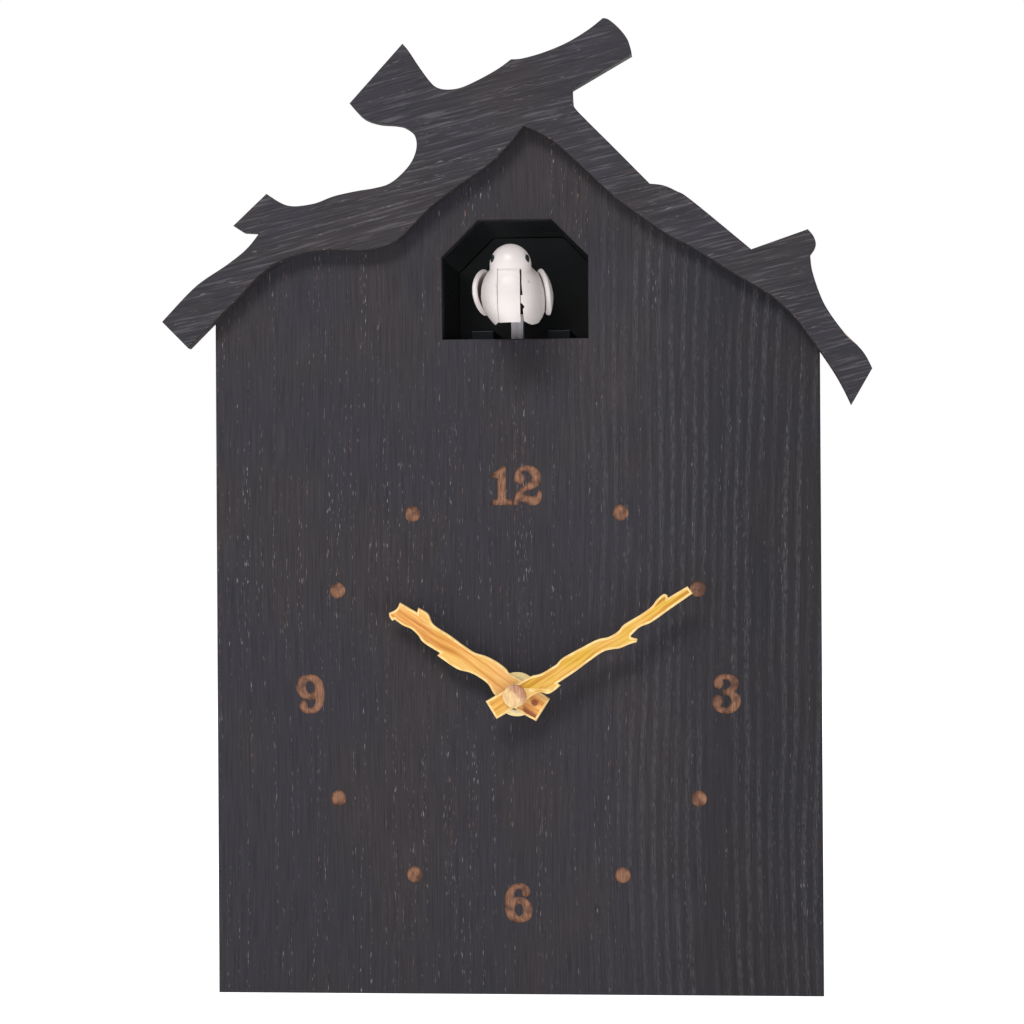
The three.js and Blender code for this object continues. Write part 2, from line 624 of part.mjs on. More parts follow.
const MINUTE_TWIG = [
  [[46.7, 29.4], [41.4, 26.3]],
  [[41.4, 26.3], [41.2, 27.1]],
  [[41.2, 27.1], [40.2, 27.3], [38.5, 25.9], [36.8, 23.8], [33.8, 21.7], [29.6, 19.2],
    [28, 17.4], [25.5, 15.9], [22.2, 15.1], [18.1, 13], [13.1, 10.3], [11.4, 8.6], [10.2, 7.8],
    [7.3, 6.1], [4.4, 5.3], [1.5, 3.8], [-3.2, 1.2], [-7.9, -1.4]],
  [[-7.9, -1.4], [-5, -6.2]],
  [[-5, -6.2], [-1.8, -4.3], [2.2, -1.6], [6.4, 0.9], [9.3, 0.6], [12.4, 2.8]],
  [[12.4, 2.8], [11.6, 3.4]],
  [[11.6, 3.4], [16, 6.3], [19.7, 9], [24.2, 12], [28.4, 12.8], [30.8, 13.8], [32.9, 14.4]],
  [[32.9, 14.4], [33.1, 15.3], [32.3, 15.5], [31.4, 15.9], [31.7, 16.5]],
  [[31.7, 16.5], [33.8, 18.4], [37, 19.8], [42, 23.3], [48.1, 27.5]],
  [[48.1, 27.5], [46.7, 29.4]],
];
const HAND_THICKNESS = 1.6;
const HOUR_HAND_FRONT = PANEL_FRONT - 6.1;
const MINUTE_HAND_FRONT = PANEL_FRONT - 9.2;
const PIPE_RADIUS = 2.5;
const ARBOR_RADIUS = 1.4;
const FIT = 0.1;

function hand(twig, front, holeRadius) {
  const back = front + HAND_THICKNESS;
  const blank = slab(outline(twig), front, back, 1);
  return cut(blank, bar(holeRadius, front - 1, back + 1));
}

function ring(outer, inner, y0, y1, sides = 20) {
  return cut(bar(outer, y0, y1, 0, 0, sides), bar(inner, y0 - 1, y1 + 1, 0, 0, 16));
}

function handCap() {
  const front = MINUTE_HAND_FRONT - 2.8;
  const dome = turned([[0, 0], [3.1, 0], [3.1, 1.4], [2.4, 2.3], [0, 2.6]]);
  dome.rotateX(Math.PI).translate(0, MINUTE_HAND_FRONT - FIT, 0);
  return cut(dome, bar(ARBOR_RADIUS + FIT, front + 1.3, MINUTE_HAND_FRONT + 1));
}

// ------------------------------------------------------------- quartz movement

const movement = new THREE.Group();
movement.position.set(0, 0, DIAL_Z);
clock.add(movement);

function addMoving(name, geometry, material, [x, z] = [0, 0]) {
  const mesh = new THREE.Mesh(geometry, material);
  mesh.name = name;
  mesh.position.set(x, 0, z);
  movement.add(mesh);
}

const MOVEMENT_HALF = 28;
const MOVEMENT_WALL = 1.4;
const PLATE_FRONT = PANEL_BACK + 0.3;
const PLATE_BACK = PLATE_FRONT + 1.8;
const MOVEMENT_BACK = PLATE_FRONT + 16;
const INSIDE_BACK = MOVEMENT_BACK - MOVEMENT_WALL;

function stepFrom([x, z], distance, degrees) {
  const angle = degrees * Math.PI / 180;
  return [x + distance * Math.cos(angle), z + distance * Math.sin(angle)];
}

function bearing([x0, z0], [x1, z1]) {
  return Math.atan2(z1 - z0, x1 - x0);
}

function between(firstTeeth, secondTeeth, module) {
  return (firstTeeth + secondTeeth) * module / 2;
}

// Tooth counts and modules of each pair, driven wheel first.
const CANNON = { teeth: 14, module: 0.4 };
const MINUTE_WHEEL = { teeth: 42, module: 0.4 };
const MINUTE_PINION = { teeth: 10, module: 0.448 };
const HOUR_WHEEL = { teeth: 40, module: 0.448 };
const KNOB_PINION = { teeth: 12, module: 0.4 };
const CENTRE_WHEEL = { teeth: 60, module: 0.3 };
const THIRD_PINION = { teeth: 8, module: 0.3 };
const THIRD_WHEEL = { teeth: 64, module: 0.28 };
const SECONDS_PINION = { teeth: 8, module: 0.28 };
const SECONDS_WHEEL = { teeth: 60, module: 0.26 };
const INTERMEDIATE_PINION = { teeth: 10, module: 0.26 };
const INTERMEDIATE_WHEEL = { teeth: 50, module: 0.25 };
const ROTOR_PINION = { teeth: 10, module: 0.25 };

function centres(first, second) {
  return between(first.teeth, second.teeth, first.module);
}

const HUB = [0, 0];
const MINUTE_WHEEL_AT = stepFrom(HUB, centres(CANNON, MINUTE_WHEEL), 60);
const KNOB_AT = stepFrom(MINUTE_WHEEL_AT, centres(MINUTE_WHEEL, KNOB_PINION), -45);
const THIRD_AT = stepFrom(HUB, centres(CENTRE_WHEEL, THIRD_PINION), 225);
const SECONDS_AT = stepFrom(THIRD_AT, centres(THIRD_WHEEL, SECONDS_PINION), 169);
const INTERMEDIATE_AT = stepFrom(SECONDS_AT, centres(SECONDS_WHEEL, INTERMEDIATE_PINION), 90);
const ROTOR_AT = stepFrom(INTERMEDIATE_AT, centres(INTERMEDIATE_WHEEL, ROTOR_PINION), 60);

function toothed({ teeth, module }, y0, y1, turn, boreRadius = 0) {
  return slab(gearShape(teeth, module, boreRadius), y0, y1).rotateY(-turn);
}

// Teeth turned so that they fall between those of a wheel that faces this one
// with a tooth.
function facing(toothedPart, from, to) {
  return bearing(to, from) + Math.PI / toothedPart.teeth;
}

const LAYER = {
  hour: PLATE_BACK + 0.5, minute: PLATE_BACK + 2.3, centre: PLATE_BACK + 4.2,
  third: PLATE_BACK + 6, seconds: PLATE_BACK + 7.9, intermediate: PLATE_BACK + 9.7,
};

function movementFrontCase() {
  const half = MOVEMENT_HALF;
  const front = box(-half, half, PLATE_FRONT, PLATE_BACK, -half, half);
  const bushing = bar(4, PANEL_FRONT - 3.4, PLATE_FRONT + 1);
  return cut(join(front, bushing), bar(2.8, PANEL_FRONT - 5, PLATE_BACK + 1));
}

function movementRearCase() {
  const outer = MOVEMENT_HALF;
  const inner = outer - MOVEMENT_WALL;
  const outside = box(-outer, outer, PLATE_BACK + GAP, MOVEMENT_BACK, -outer, outer);
  const inside = box(-inner, inner, PLATE_BACK - 1, INSIDE_BACK, -inner, inner);
  const knobHole = bar(1.6, INSIDE_BACK - 1, MOVEMENT_BACK + 1, ...KNOB_AT);
  return cut(outside, inside, knobHole);
}

function minuteArbor() {
  const spindle = bar(ARBOR_RADIUS, MINUTE_HAND_FRONT - 0.7, LAYER.centre + 1.2, 0, 0, 12);
  const pivot = bar(0.5, LAYER.centre + 1, INSIDE_BACK - 0.3, 0, 0, 8);
  const pinionTurn = bearing(HUB, MINUTE_WHEEL_AT);
  const pinion = toothed(CANNON, LAYER.minute - 0.3, LAYER.minute + 1.3, pinionTurn);
  return join(spindle, pivot, pinion);
}

function minuteWheel() {
  const stud = bar(0.7, PLATE_BACK + 0.2, LAYER.minute + 1.4, 0, 0, 8);
  const pinionTurn = bearing(MINUTE_WHEEL_AT, HUB);
  const pinion = toothed(MINUTE_PINION, LAYER.hour, LAYER.minute + 0.2, pinionTurn);
  const wheelTurn = facing(MINUTE_WHEEL, HUB, MINUTE_WHEEL_AT);
  const wheel = toothed(MINUTE_WHEEL, LAYER.minute, LAYER.minute + 1, wheelTurn);
  return join(stud, pinion, wheel);
}

function hourWheel() {
  const wheelTurn = facing(HOUR_WHEEL, MINUTE_WHEEL_AT, HUB);
  const wheel = toothed(HOUR_WHEEL, LAYER.hour, LAYER.hour + 1.2, wheelTurn);
  const pipe = bar(PIPE_RADIUS, HOUR_HAND_FRONT - 0.3, LAYER.hour + 1);
  const bore = bar(ARBOR_RADIUS + FIT, HOUR_HAND_FRONT - 1, LAYER.hour + 2);
  return cut(join(wheel, pipe), bore);
}

function settingKnob() {
  const wheelTurn = facing(MINUTE_WHEEL, HUB, MINUTE_WHEEL_AT);
  const direction = bearing(MINUTE_WHEEL_AT, KNOB_AT);
  const { teeth, module } = KNOB_PINION;
  const turn = meshTurn(MINUTE_WHEEL.teeth, teeth, module, direction, wheelTurn);
  const pinion = toothed(KNOB_PINION, LAYER.minute - 0.3, LAYER.minute + 1.3, turn);
  const shaft = bar(1.3, LAYER.minute, MOVEMENT_BACK + 1, 0, 0, 10);
  const grip = slab(gearShape(24, 0.5), MOVEMENT_BACK + 0.4, MOVEMENT_BACK + 4.5);
  return join(shaft, pinion, grip);
}

function centreWheel() {
  const turn = bearing(HUB, THIRD_AT);
  return toothed(CENTRE_WHEEL, LAYER.centre, LAYER.centre + 0.8, turn, ARBOR_RADIUS + 0.15);
}

function arbor(y0) {
  return bar(0.55, y0, INSIDE_BACK - 0.3, 0, 0, 8);
}

function thirdWheel() {
  const pinionTurn = facing(THIRD_PINION, HUB, THIRD_AT);
  const pinion = toothed(THIRD_PINION, LAYER.centre - 0.2, LAYER.third + 0.1, pinionTurn);
  const wheelTurn = bearing(THIRD_AT, SECONDS_AT);
  const wheel = toothed(THIRD_WHEEL, LAYER.third, LAYER.third + 0.8, wheelTurn);
  return join(arbor(LAYER.centre - 0.6), pinion, wheel);
}

function secondsWheel() {
  const pinionTurn = facing(SECONDS_PINION, THIRD_AT, SECONDS_AT);
  const pinion = toothed(SECONDS_PINION, LAYER.third - 0.2, LAYER.seconds + 0.1, pinionTurn);
  const wheelTurn = bearing(SECONDS_AT, INTERMEDIATE_AT);
  const wheel = toothed(SECONDS_WHEEL, LAYER.seconds, LAYER.seconds + 0.8, wheelTurn);
  return join(arbor(LAYER.third - 0.6), pinion, wheel);
}

function intermediateWheel() {
  const pinionTurn = facing(INTERMEDIATE_PINION, SECONDS_AT, INTERMEDIATE_AT);
  const pinion = toothed(INTERMEDIATE_PINION, LAYER.seconds - 0.2, LAYER.intermediate + 0.1, pinionTurn);
  const wheelTurn = bearing(INTERMEDIATE_AT, ROTOR_AT);
  const wheel = toothed(INTERMEDIATE_WHEEL, LAYER.intermediate, LAYER.intermediate + 0.8, wheelTurn);
  return join(arbor(LAYER.seconds - 0.6), pinion, wheel);
}

function rotor() {
  const turn = facing(ROTOR_PINION, INTERMEDIATE_AT, ROTOR_AT);
  const pinion = toothed(ROTOR_PINION, LAYER.intermediate - 0.2, LAYER.intermediate + 1, turn);
  const magnet = bar(2.8, PLATE_BACK + 4.6, PLATE_BACK + 8.2);
  return join(arbor(PLATE_BACK + 3.4), pinion, magnet);
}

// A flat iron loop with a hole around the rotor's magnet, and the wound coil.
function statorCoil() {
  const y0 = PLATE_BACK + 5.6;
  const y1 = y0 + 0.8;
  const pole = box(-19, -7.6, y0, y1, 6.6, 24.5);
  const top = box(-9, 18.5, y0, y1, 20.5, 23.5);
  const side = box(16, 18.5, y0, y1, 6.6, 23);
  const bottom = box(-9, 18, y0, y1, 6.6, 9.4);
  const coil = bar(3.4, -4, 14, 0, 0, 14).rotateZ(-Math.PI / 2).translate(0, (y0 + y1) / 2, 22);
  const rotorHole = bar(3.3, y0 - 1, y1 + 1, ...ROTOR_AT);
  return cut(join(pole, top, side, bottom, coil), rotorHole);
}

addMoving('movement_front_case', movementFrontCase(), looks.blackPlastic);
addMoving('movement_rear_case', movementRearCase(), looks.blackPlastic);
addMoving('stator_coil', statorCoil(), looks.copper);
addMoving('rotor', rotor(), looks.steel, ROTOR_AT);
addMoving('intermediate_wheel', intermediateWheel(), looks.gearPlastic, INTERMEDIATE_AT);
addMoving('seconds_wheel', secondsWheel(), looks.gearPlastic, SECONDS_AT);
addMoving('third_wheel', thirdWheel(), looks.gearPlastic, THIRD_AT);
addMoving('centre_wheel', centreWheel(), looks.gearPlastic);
addMoving('minute_arbor', minuteArbor(), looks.brass);
addMoving('minute_wheel', minuteWheel(), looks.gearPlastic, MINUTE_WHEEL_AT);
addMoving('hour_wheel', hourWheel(), looks.gearPlastic);
addMoving('setting_knob', settingKnob(), looks.mattPlastic, KNOB_AT);
addMoving('dial_washer', ring(6, 4.2, PANEL_FRONT - 1.2, PANEL_FRONT - GAP), looks.creamPlastic);
addMoving('bushing_nut', ring(5.2, 4.1, PANEL_FRONT - 3.2, PANEL_FRONT - 1.4, 6), looks.creamPlastic);
addMoving('hour_hand', hand(HOUR_TWIG, HOUR_HAND_FRONT, PIPE_RADIUS + FIT), looks.twigWood);
addMoving('minute_hand', hand(MINUTE_TWIG, MINUTE_HAND_FRONT, ARBOR_RADIUS + FIT), looks.twigWood);
addMoving('hand_cap', handCap(), looks.creamPlastic);

// ------------------------------------------------------------------ electrics

const CELL_RADIUS = 7;
const CELL_PITCH = 14.7;
const BAY_MIDDLE = (BATTERY_BAY.bottom + BATTERY_BAY.top) / 2;
const BOX_FLOOR = COVER_BACK - 18.2;
const FLANGE_FRONT = COVER_BACK + GAP;
const FLANGE_BACK = FLANGE_FRONT + 1;

function batteryBox() {
  const half = BATTERY_BAY.half - 0.3;
  const low = BATTERY_BAY.bottom + 0.3;
  const high = BATTERY_BAY.top - 0.3;
  const tray = box(-half, half, BOX_FLOOR, FLANGE_FRONT + 0.5, low, high);
  const flange = box(-31, 31, FLANGE_FRONT, FLANGE_BACK, low - 2.5, high + 2.5);
  const lowRail = box(-31, 31, FLANGE_BACK - 0.5, FLANGE_BACK + 1.6, low - 2.5, low - 1.2);
  const highRail = box(-31, 31, FLANGE_BACK - 0.5, FLANGE_BACK + 1.6, high + 1.2, high + 2.5);
  const wall = 1.4;
  const hollow = box(
    wall - half, half - wall, BOX_FLOOR + wall, FLANGE_BACK + 3, low + wall, high - wall,
  );
  return cut(join(tray, flange, lowRail, highRail), hollow);
}

function batteryDoor() {
  const y0 = FLANGE_BACK + GAP;
  const lid = box(-30.5, 30.5, y0, y0 + 1.2, BATTERY_BAY.bottom - 0.6, BATTERY_BAY.top + 0.6);
  const grips = [-6, -3, 0, 3, 6].map((offset) => (
    box(-24 + offset - 0.5, -24 + offset + 0.5, y0 + 1, y0 + 1.5, BAY_MIDDLE - 8, BAY_MIDDLE + 8)
  ));
  return join(lid, ...grips);
}

function cell(capLeft) {
  const can = turned([[0, -25], [6.4, -25], [CELL_RADIUS, -24.4], [CELL_RADIUS, 23.4], [6.4, 24],
    [2.7, 24], [2.7, 25.3], [0, 25.3]]);
  return can.rotateZ(capLeft ? Math.PI / 2 : -Math.PI / 2);
}

const BOARD_FRONT = COVER_FRONT - 5.8;
const BOARD_BACK = BOARD_FRONT + 1.6;

function circuitBoard() {
  const board = box(-70, -38, BOARD_FRONT, BOARD_BACK, 125, 167);
  const chip = box(-60, -50, BOARD_FRONT - 1.8, BOARD_FRONT + 0.5, 141, 151);
  const capacitor = bar(3, BOARD_FRONT - 8, BOARD_FRONT + 0.5, -45, 155, 12);
  const socket = box(-66, -42, BOARD_FRONT - 5, BOARD_FRONT + 0.5, 126, 131);
  return join(board, chip, capacitor, socket);
}

function volumeSlider() {
  const base = box(-3.2, 3.2, BOARD_BACK + 0.3, COVER_FRONT - 0.3, -4.5, 4.5);
  const neck = box(-1.6, 1.6, COVER_FRONT - 1, COVER_BACK + 2.2, -1.7, 1.7);
  return join(base, neck);
}

function testButton() {
  const flange = bar(4.2, BOARD_BACK + 1.9, COVER_FRONT - 0.3);
  const neck = bar(2.9, COVER_FRONT - 1, COVER_BACK + 1.8);
  return join(flange, neck);
}

// Speaker profiles run from the cover inwards.
function speakerLathe(points, sides = 24) {
  const geometry = turned(points, sides).rotateX(Math.PI);
  return geometry.translate(SPEAKER.x, COVER_FRONT - 0.3, SPEAKER.z);
}

const SPEAKER_BASKET = [[17.5, 0], [17.5, 1], [11.4, 8.6], [6, 8.6], [6, 9.6], [12, 9.6],
  [18.3, 1.5], [20, 1.5], [20, 0], [17.5, 0]];
const SPEAKER_CONE = [[0, 5.4], [3, 5.8], [5.5, 6.9], [16.9, 0.5], [16.9, 1.1], [6, 7.8],
  [3, 6.9], [0, 6.4]];
const SPEAKER_MAGNET = [[0, 8.8], [5, 8.8], [5, 9.8], [10, 9.8], [10, 15.6], [0, 15.6]];

function lead(points) {
  const route = new THREE.CatmullRomCurve3(points.map((point) => new THREE.Vector3(...point)));
  const section = new THREE.Shape();
  section.absarc(0, 0, 0.8, 0, Math.PI * 2);
  return new THREE.ExtrudeGeometry(section, {
    steps: 14, curveSegments: 3, bevelEnabled: false, extrudePath: route,
  });
}

const LEAD_END_Y = BOARD_FRONT - 3;
const LEAD_END_Z = 125.7;

add('battery_box', batteryBox(), looks.mattPlastic);
add('battery_door', batteryDoor(), looks.mattPlastic);
[-1, 0, 1].forEach((row, index) => {
  const y = BOX_FLOOR + 1.7 + CELL_RADIUS;
  const z = BAY_MIDDLE + row * CELL_PITCH;
  add(`battery_${index + 1}`, cell(row === 0), looks.battery, 0, y, z);
});
add('circuit_board', circuitBoard(), looks.greenBoard);
add('volume_slider', volumeSlider(), looks.mattPlastic, CONTROLS_X, 0, SLIDER_Z);
add('test_button', testButton(), looks.mattPlastic, CONTROLS_X, 0, BUTTON_Z);
add('speaker_frame', speakerLathe(SPEAKER_BASKET), looks.steel);
add('speaker_cone', speakerLathe(SPEAKER_CONE), looks.paper);
add('speaker_magnet', speakerLathe(SPEAKER_MAGNET), looks.steel);
add('battery_lead', lead([
  [-24, 26, BATTERY_BAY.top + 0.3], [-26, 24, 64], [-40, 18, 84], [-58, 18, 106],
  [-62, LEAD_END_Y, 119], [-62, LEAD_END_Y, LEAD_END_Z],
]), looks.lead);
add('motor_lead', lead([
  [MOTOR_X, 0, 138.7], [MOTOR_X, 1, 132], [4, 8, 119], [-24, 18, 113],
  [-50, LEAD_END_Y, 117], [-52, LEAD_END_Y, LEAD_END_Z],
]), looks.lead);
add('movement_lead', lead([
  [-20, -24, DIAL_Z + MOVEMENT_HALF + 0.3], [-20, -23, 114], [-28, -8, 120], [-44, 12, 118],
  [-46, LEAD_END_Y, 119], [-46, LEAD_END_Y, LEAD_END_Z],
]), looks.lead);
add('speaker_lead', lead([
  [-10.5, 21.5, SPEAKER.z], [-16, 20.5, SPEAKER.z], [-26, 22, 144], [-34, BOARD_FRONT + 0.4, 142],
  [-37.6, BOARD_FRONT + 0.8, 142],
]), looks.lead);

export default clock;
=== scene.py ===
"""Looks of a bird-house cuckoo clock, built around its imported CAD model.

Shapes are drawn in millimetres and scaled once, when they become pieces. An
outline lies in the upright X-Z plane, as the front panel does.
"""

import json
import math

import bmesh
import bpy
from mathutils import Matrix, Vector


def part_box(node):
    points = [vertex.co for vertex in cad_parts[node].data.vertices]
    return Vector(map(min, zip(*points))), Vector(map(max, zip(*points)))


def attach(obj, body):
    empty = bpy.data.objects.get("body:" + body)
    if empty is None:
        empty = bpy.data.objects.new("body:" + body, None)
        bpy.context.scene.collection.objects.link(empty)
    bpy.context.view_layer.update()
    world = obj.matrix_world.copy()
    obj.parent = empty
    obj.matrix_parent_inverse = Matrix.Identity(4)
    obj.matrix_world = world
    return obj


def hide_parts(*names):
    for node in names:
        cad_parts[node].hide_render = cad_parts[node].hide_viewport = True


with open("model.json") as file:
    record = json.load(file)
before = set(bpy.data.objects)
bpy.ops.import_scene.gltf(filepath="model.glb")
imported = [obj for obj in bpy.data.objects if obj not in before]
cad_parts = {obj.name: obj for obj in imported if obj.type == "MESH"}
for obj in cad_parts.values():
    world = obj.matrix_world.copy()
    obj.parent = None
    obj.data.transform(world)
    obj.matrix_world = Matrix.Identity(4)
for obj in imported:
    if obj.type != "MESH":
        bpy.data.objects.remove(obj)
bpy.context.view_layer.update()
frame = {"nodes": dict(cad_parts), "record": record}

MM = 0.001


def span(node):
    """Lowest and highest corners of a CAD node at rest, in millimetres."""
    low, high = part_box(node)
    return [value / MM for value in low], [value / MM for value in high]


PANEL_LOW, PANEL_HIGH = span("front_panel")
BRANCH_LOW, BRANCH_HIGH = span("roof_branch_plate")
CAP_LOW, CAP_HIGH = span("hand_cap")
WASHER_LOW, WASHER_HIGH = span("dial_washer")
HALF_WIDTH = PANEL_HIGH[0]
PEAK_Z = PANEL_HIGH[2]
PANEL_FRONT = PANEL_LOW[1]
PANEL_BACK = PANEL_HIGH[1]
DIAL_Z = (CAP_LOW[2] + CAP_HIGH[2]) / 2
ROOF_SLOPE = 0.61
DIAL_RADIUS = 56.9
DOT_RADIUS = 2.15
SHAFT_HOLE_RADIUS = 4.3
NUMERAL_HEIGHT = 10.8
CHIPS_X = 90                  # where the branch's edge is chipped
CHIPS_Z = 177.5
KNOT = (5.2, -1.9)            # on the hour hand's tail, from the dial's middle
ENGRAVING = 0.5
WINDOW_HALF = 20
WINDOW_BOTTOM = 178.8
WINDOW_TOP = 211.3
WINDOW_CHAMFER = 10

RECORD = frame["record"]
BODY_OF = {node: body for body, nodes in RECORD["behaviour"]["bodies"].items() for node in nodes}


# --------------------------------------------------------------- mesh helpers

def changed(mesh, kind, **settings):
    """The mesh after one modifier."""
    holder = bpy.data.objects.new("holder", mesh)
    bpy.context.collection.objects.link(holder)
    modifier = holder.modifiers.new("change", kind)
    for key, value in settings.items():
        setattr(modifier, key, value)
    return settled(holder)


def settled(holder):
    """The mesh that an object evaluates to. The object is removed."""
    depsgraph = bpy.context.evaluated_depsgraph_get()
    evaluated = holder.evaluated_get(depsgraph)
    mesh = bpy.data.meshes.new_from_object(evaluated, depsgraph=depsgraph)
    bpy.data.objects.remove(holder)
    return mesh


def edited(mesh, action):
    """Runs one bmesh edit on a mesh."""
    editor = bmesh.new()
    editor.from_mesh(mesh)
    action(editor)
    editor.to_mesh(mesh)
    editor.free()
    return mesh


def welded(mesh, distance=0.002):
    def weld(editor):
        bmesh.ops.remove_doubles(editor, verts=editor.verts, dist=distance)
        bmesh.ops.recalc_face_normals(editor, faces=editor.faces)
    return edited(mesh, weld)


def merged(*meshes):
    """One mesh from several."""
    editor = bmesh.new()
    for mesh in meshes:
        editor.from_mesh(mesh)
    whole = bpy.data.meshes.new("merged")
    editor.to_mesh(whole)
    editor.free()
    return whole


def joined(*meshes):
    """One mesh from several, each with its own material."""
    whole = merged(*meshes)
    for mesh in meshes:
        whole.materials.append(mesh.materials[0])
    owners = [number for number, mesh in enumerate(meshes) for _ in mesh.polygons]
    whole.polygons.foreach_set("material_index", owners)
    return whole


def cut(mesh, *tools):
    """The mesh with every tool taken out of it."""
    tool = bpy.data.objects.new("tool", merged(*tools))
    bpy.context.collection.objects.link(tool)
    result = changed(mesh, "BOOLEAN", object=tool, operation="DIFFERENCE", solver="EXACT")
    bpy.data.objects.remove(tool)
    return result


def rounded(mesh, width, segments=2, angle=30):
    """The mesh with its sharp edges rounded."""
    return changed(mesh, "BEVEL", width=width, segments=segments, limit_method="ANGLE",
                   angle_limit=math.radians(angle), miter_outer="MITER_ARC")


def through(points, steps):
    """A smooth curve through the points, without its first one."""
    path = []
    last = len(points) - 1
    for index in range(last):
        before = Vector(points[max(index - 1, 0)])
        start = Vector(points[index])
        end = Vector(points[index + 1])
        after = Vector(points[min(index + 2, last)])
        for step in range(1, steps + 1):
            t = step / steps
            leave = (end - before) / 2
            arrive = (after - start) / 2
            path.append(tuple(
                start * (2 * t ** 3 - 3 * t ** 2 + 1) + leave * (t ** 3 - 2 * t ** 2 + t)
                + end * (3 * t ** 2 - 2 * t ** 3) + arrive * (t ** 3 - t ** 2)))
    return path


def outline(stretches, steps=6):
    """A closed outline. Two points make a straight cut, and more a smooth curve."""
    path = [tuple(stretches[0][0])]
    for stretch in stretches:
        if len(stretch) == 2:
            path.append(tuple(stretch[1]))
        else:
            path.extend(through(stretch, steps))
    return path[:-1]


def circle(radius, x=0.0, z=0.0, steps=48):
    turns = [index * math.tau / steps for index in range(steps)]
    return [(x + radius * math.cos(turn), z + radius * math.sin(turn)) for turn in turns]


def area(loop):
    pairs = zip(loop, loop[1:] + loop[:1])
    return sum(a[0] * b[1] - b[0] * a[1] for a, b in pairs) / 2


def flat(loops, y0, y1, arris=0.0, steps=2, inset=0.0):
    """A flat mesh from y0 to y1, with rounded arrises. Loops after the first are holes."""
    curve = bpy.data.curves.new("flat", "CURVE")
    curve.dimensions = "2D"
    curve.fill_mode = "BOTH"
    curve.extrude = (y1 - y0) / 2 - arris
    curve.bevel_depth = arris
    curve.bevel_resolution = steps
    curve.offset = -arris - inset
    for index, loop in enumerate(loops):
        inward = index > 0
        ordered = loop if (area(loop) > 0) != inward else loop[::-1]
        spline = curve.splines.new("POLY")
        spline.points.add(len(ordered) - 1)
        for point, (x, z) in zip(spline.points, ordered):
            point.co = (x, z, 0, 1)
        spline.use_cyclic_u = True
    holder = bpy.data.objects.new("flat", curve)
    bpy.context.collection.objects.link(holder)
    mesh = settled(holder)
    mesh.transform(Matrix.Translation((0, (y0 + y1) / 2, 0)) @ Matrix.Rotation(math.pi / 2, 4, "X"))
    return welded(mesh)


def turned(profile, x=0.0, z=0.0, steps=64):
    """A round mesh about an axis along Y, from its [radius, y] points."""
    editor = bmesh.new()
    rings = []
    for radius, y in profile:
        if radius == 0:
            rings.append([editor.verts.new((x, y, z))])
        else:
            rings.append([editor.verts.new((px, y, pz)) for px, pz in circle(radius, x, z, steps)])
    for first, second in zip(rings, rings[1:]):
        for index in range(steps):
            after = (index + 1) % steps
            corners = [first[index % len(first)], first[after % len(first)],
                       second[after % len(second)], second[index % len(second)]]
            unique = list(dict.fromkeys(corners))
            if len(unique) > 2:
                editor.faces.new(unique)
    bmesh.ops.recalc_face_normals(editor, faces=editor.faces)
    mesh = bpy.data.meshes.new("turned")
    editor.to_mesh(mesh)
    editor.free()
    return mesh


def block(low, high):
    editor = bmesh.new()
    bmesh.ops.create_cube(editor, size=1)
    middle = (Vector(low) + Vector(high)) / 2
    size = Vector(high) - Vector(low)
    bmesh.ops.transform(editor, verts=editor.verts, matrix=(
        Matrix.Translation(middle) @ Matrix.Diagonal((*size, 1))))
    mesh = bpy.data.meshes.new("block")
    editor.to_mesh(mesh)
    editor.free()
    return mesh


def ball(radii, centre, around=32, up=20):
    editor = bmesh.new()
    bmesh.ops.create_uvsphere(editor, u_segments=around, v_segments=up, radius=1)
    bmesh.ops.transform(editor, verts=editor.verts, matrix=(
        Matrix.Translation(centre) @ Matrix.Diagonal((*radii, 1))))
    mesh = bpy.data.meshes.new("ball")
    editor.to_mesh(mesh)
    editor.free()
    return mesh


def node_mesh(node):
    """A clean copy of a CAD node's mesh, in millimetres."""
    mesh = frame["nodes"][node].data.copy()
    mesh.transform(Matrix.Scale(1 / MM, 4))
    mesh.materials.clear()

    def clean(editor):
        bmesh.ops.remove_doubles(editor, verts=editor.verts, dist=0.002)
        bmesh.ops.dissolve_limit(
            editor, angle_limit=math.radians(0.5), verts=editor.verts, edges=editor.edges)
    return edited(mesh, clean)


def piece(name, mesh, material, slot, body, *nodes, sharp=35):
    """A finished piece that rides on a body, in place of its CAD nodes."""
    for face in mesh.polygons:
        face.use_smooth = True
    mesh.set_sharp_from_angle(angle=math.radians(sharp))
    mesh = changed(mesh, "WEIGHTED_NORMAL", keep_sharp=True, weight=80)
    mesh.transform(Matrix.Scale(MM, 4))
    if not mesh.materials:
        mesh.materials.append(material)
    made = bpy.data.objects.new(name, mesh)
    bpy.context.collection.objects.link(made)
    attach(made, body)
    if nodes:
        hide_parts(*nodes)
    return made


def polished(node, width, segments=2, material=None, sharp=35):
    """A CAD node's own shape with its edges rounded."""
    slot = SLOT_OF[node]
    mesh = rounded(node_mesh(node), width, segments)
    return piece(f"{node}_fine", mesh, material or LOOKS[slot], slot, BODY_OF[node], node,
                 sharp=sharp)


# ------------------------------------------------------------------ materials

def rgb(red, green, blue):
    """A linear colour from 8-bit values."""
    def linear(value):
        share = value / 255
        return share / 12.92 if share <= 0.04045 else ((share + 0.055) / 1.055) ** 2.4
    return (linear(red), linear(green), linear(blue), 1)


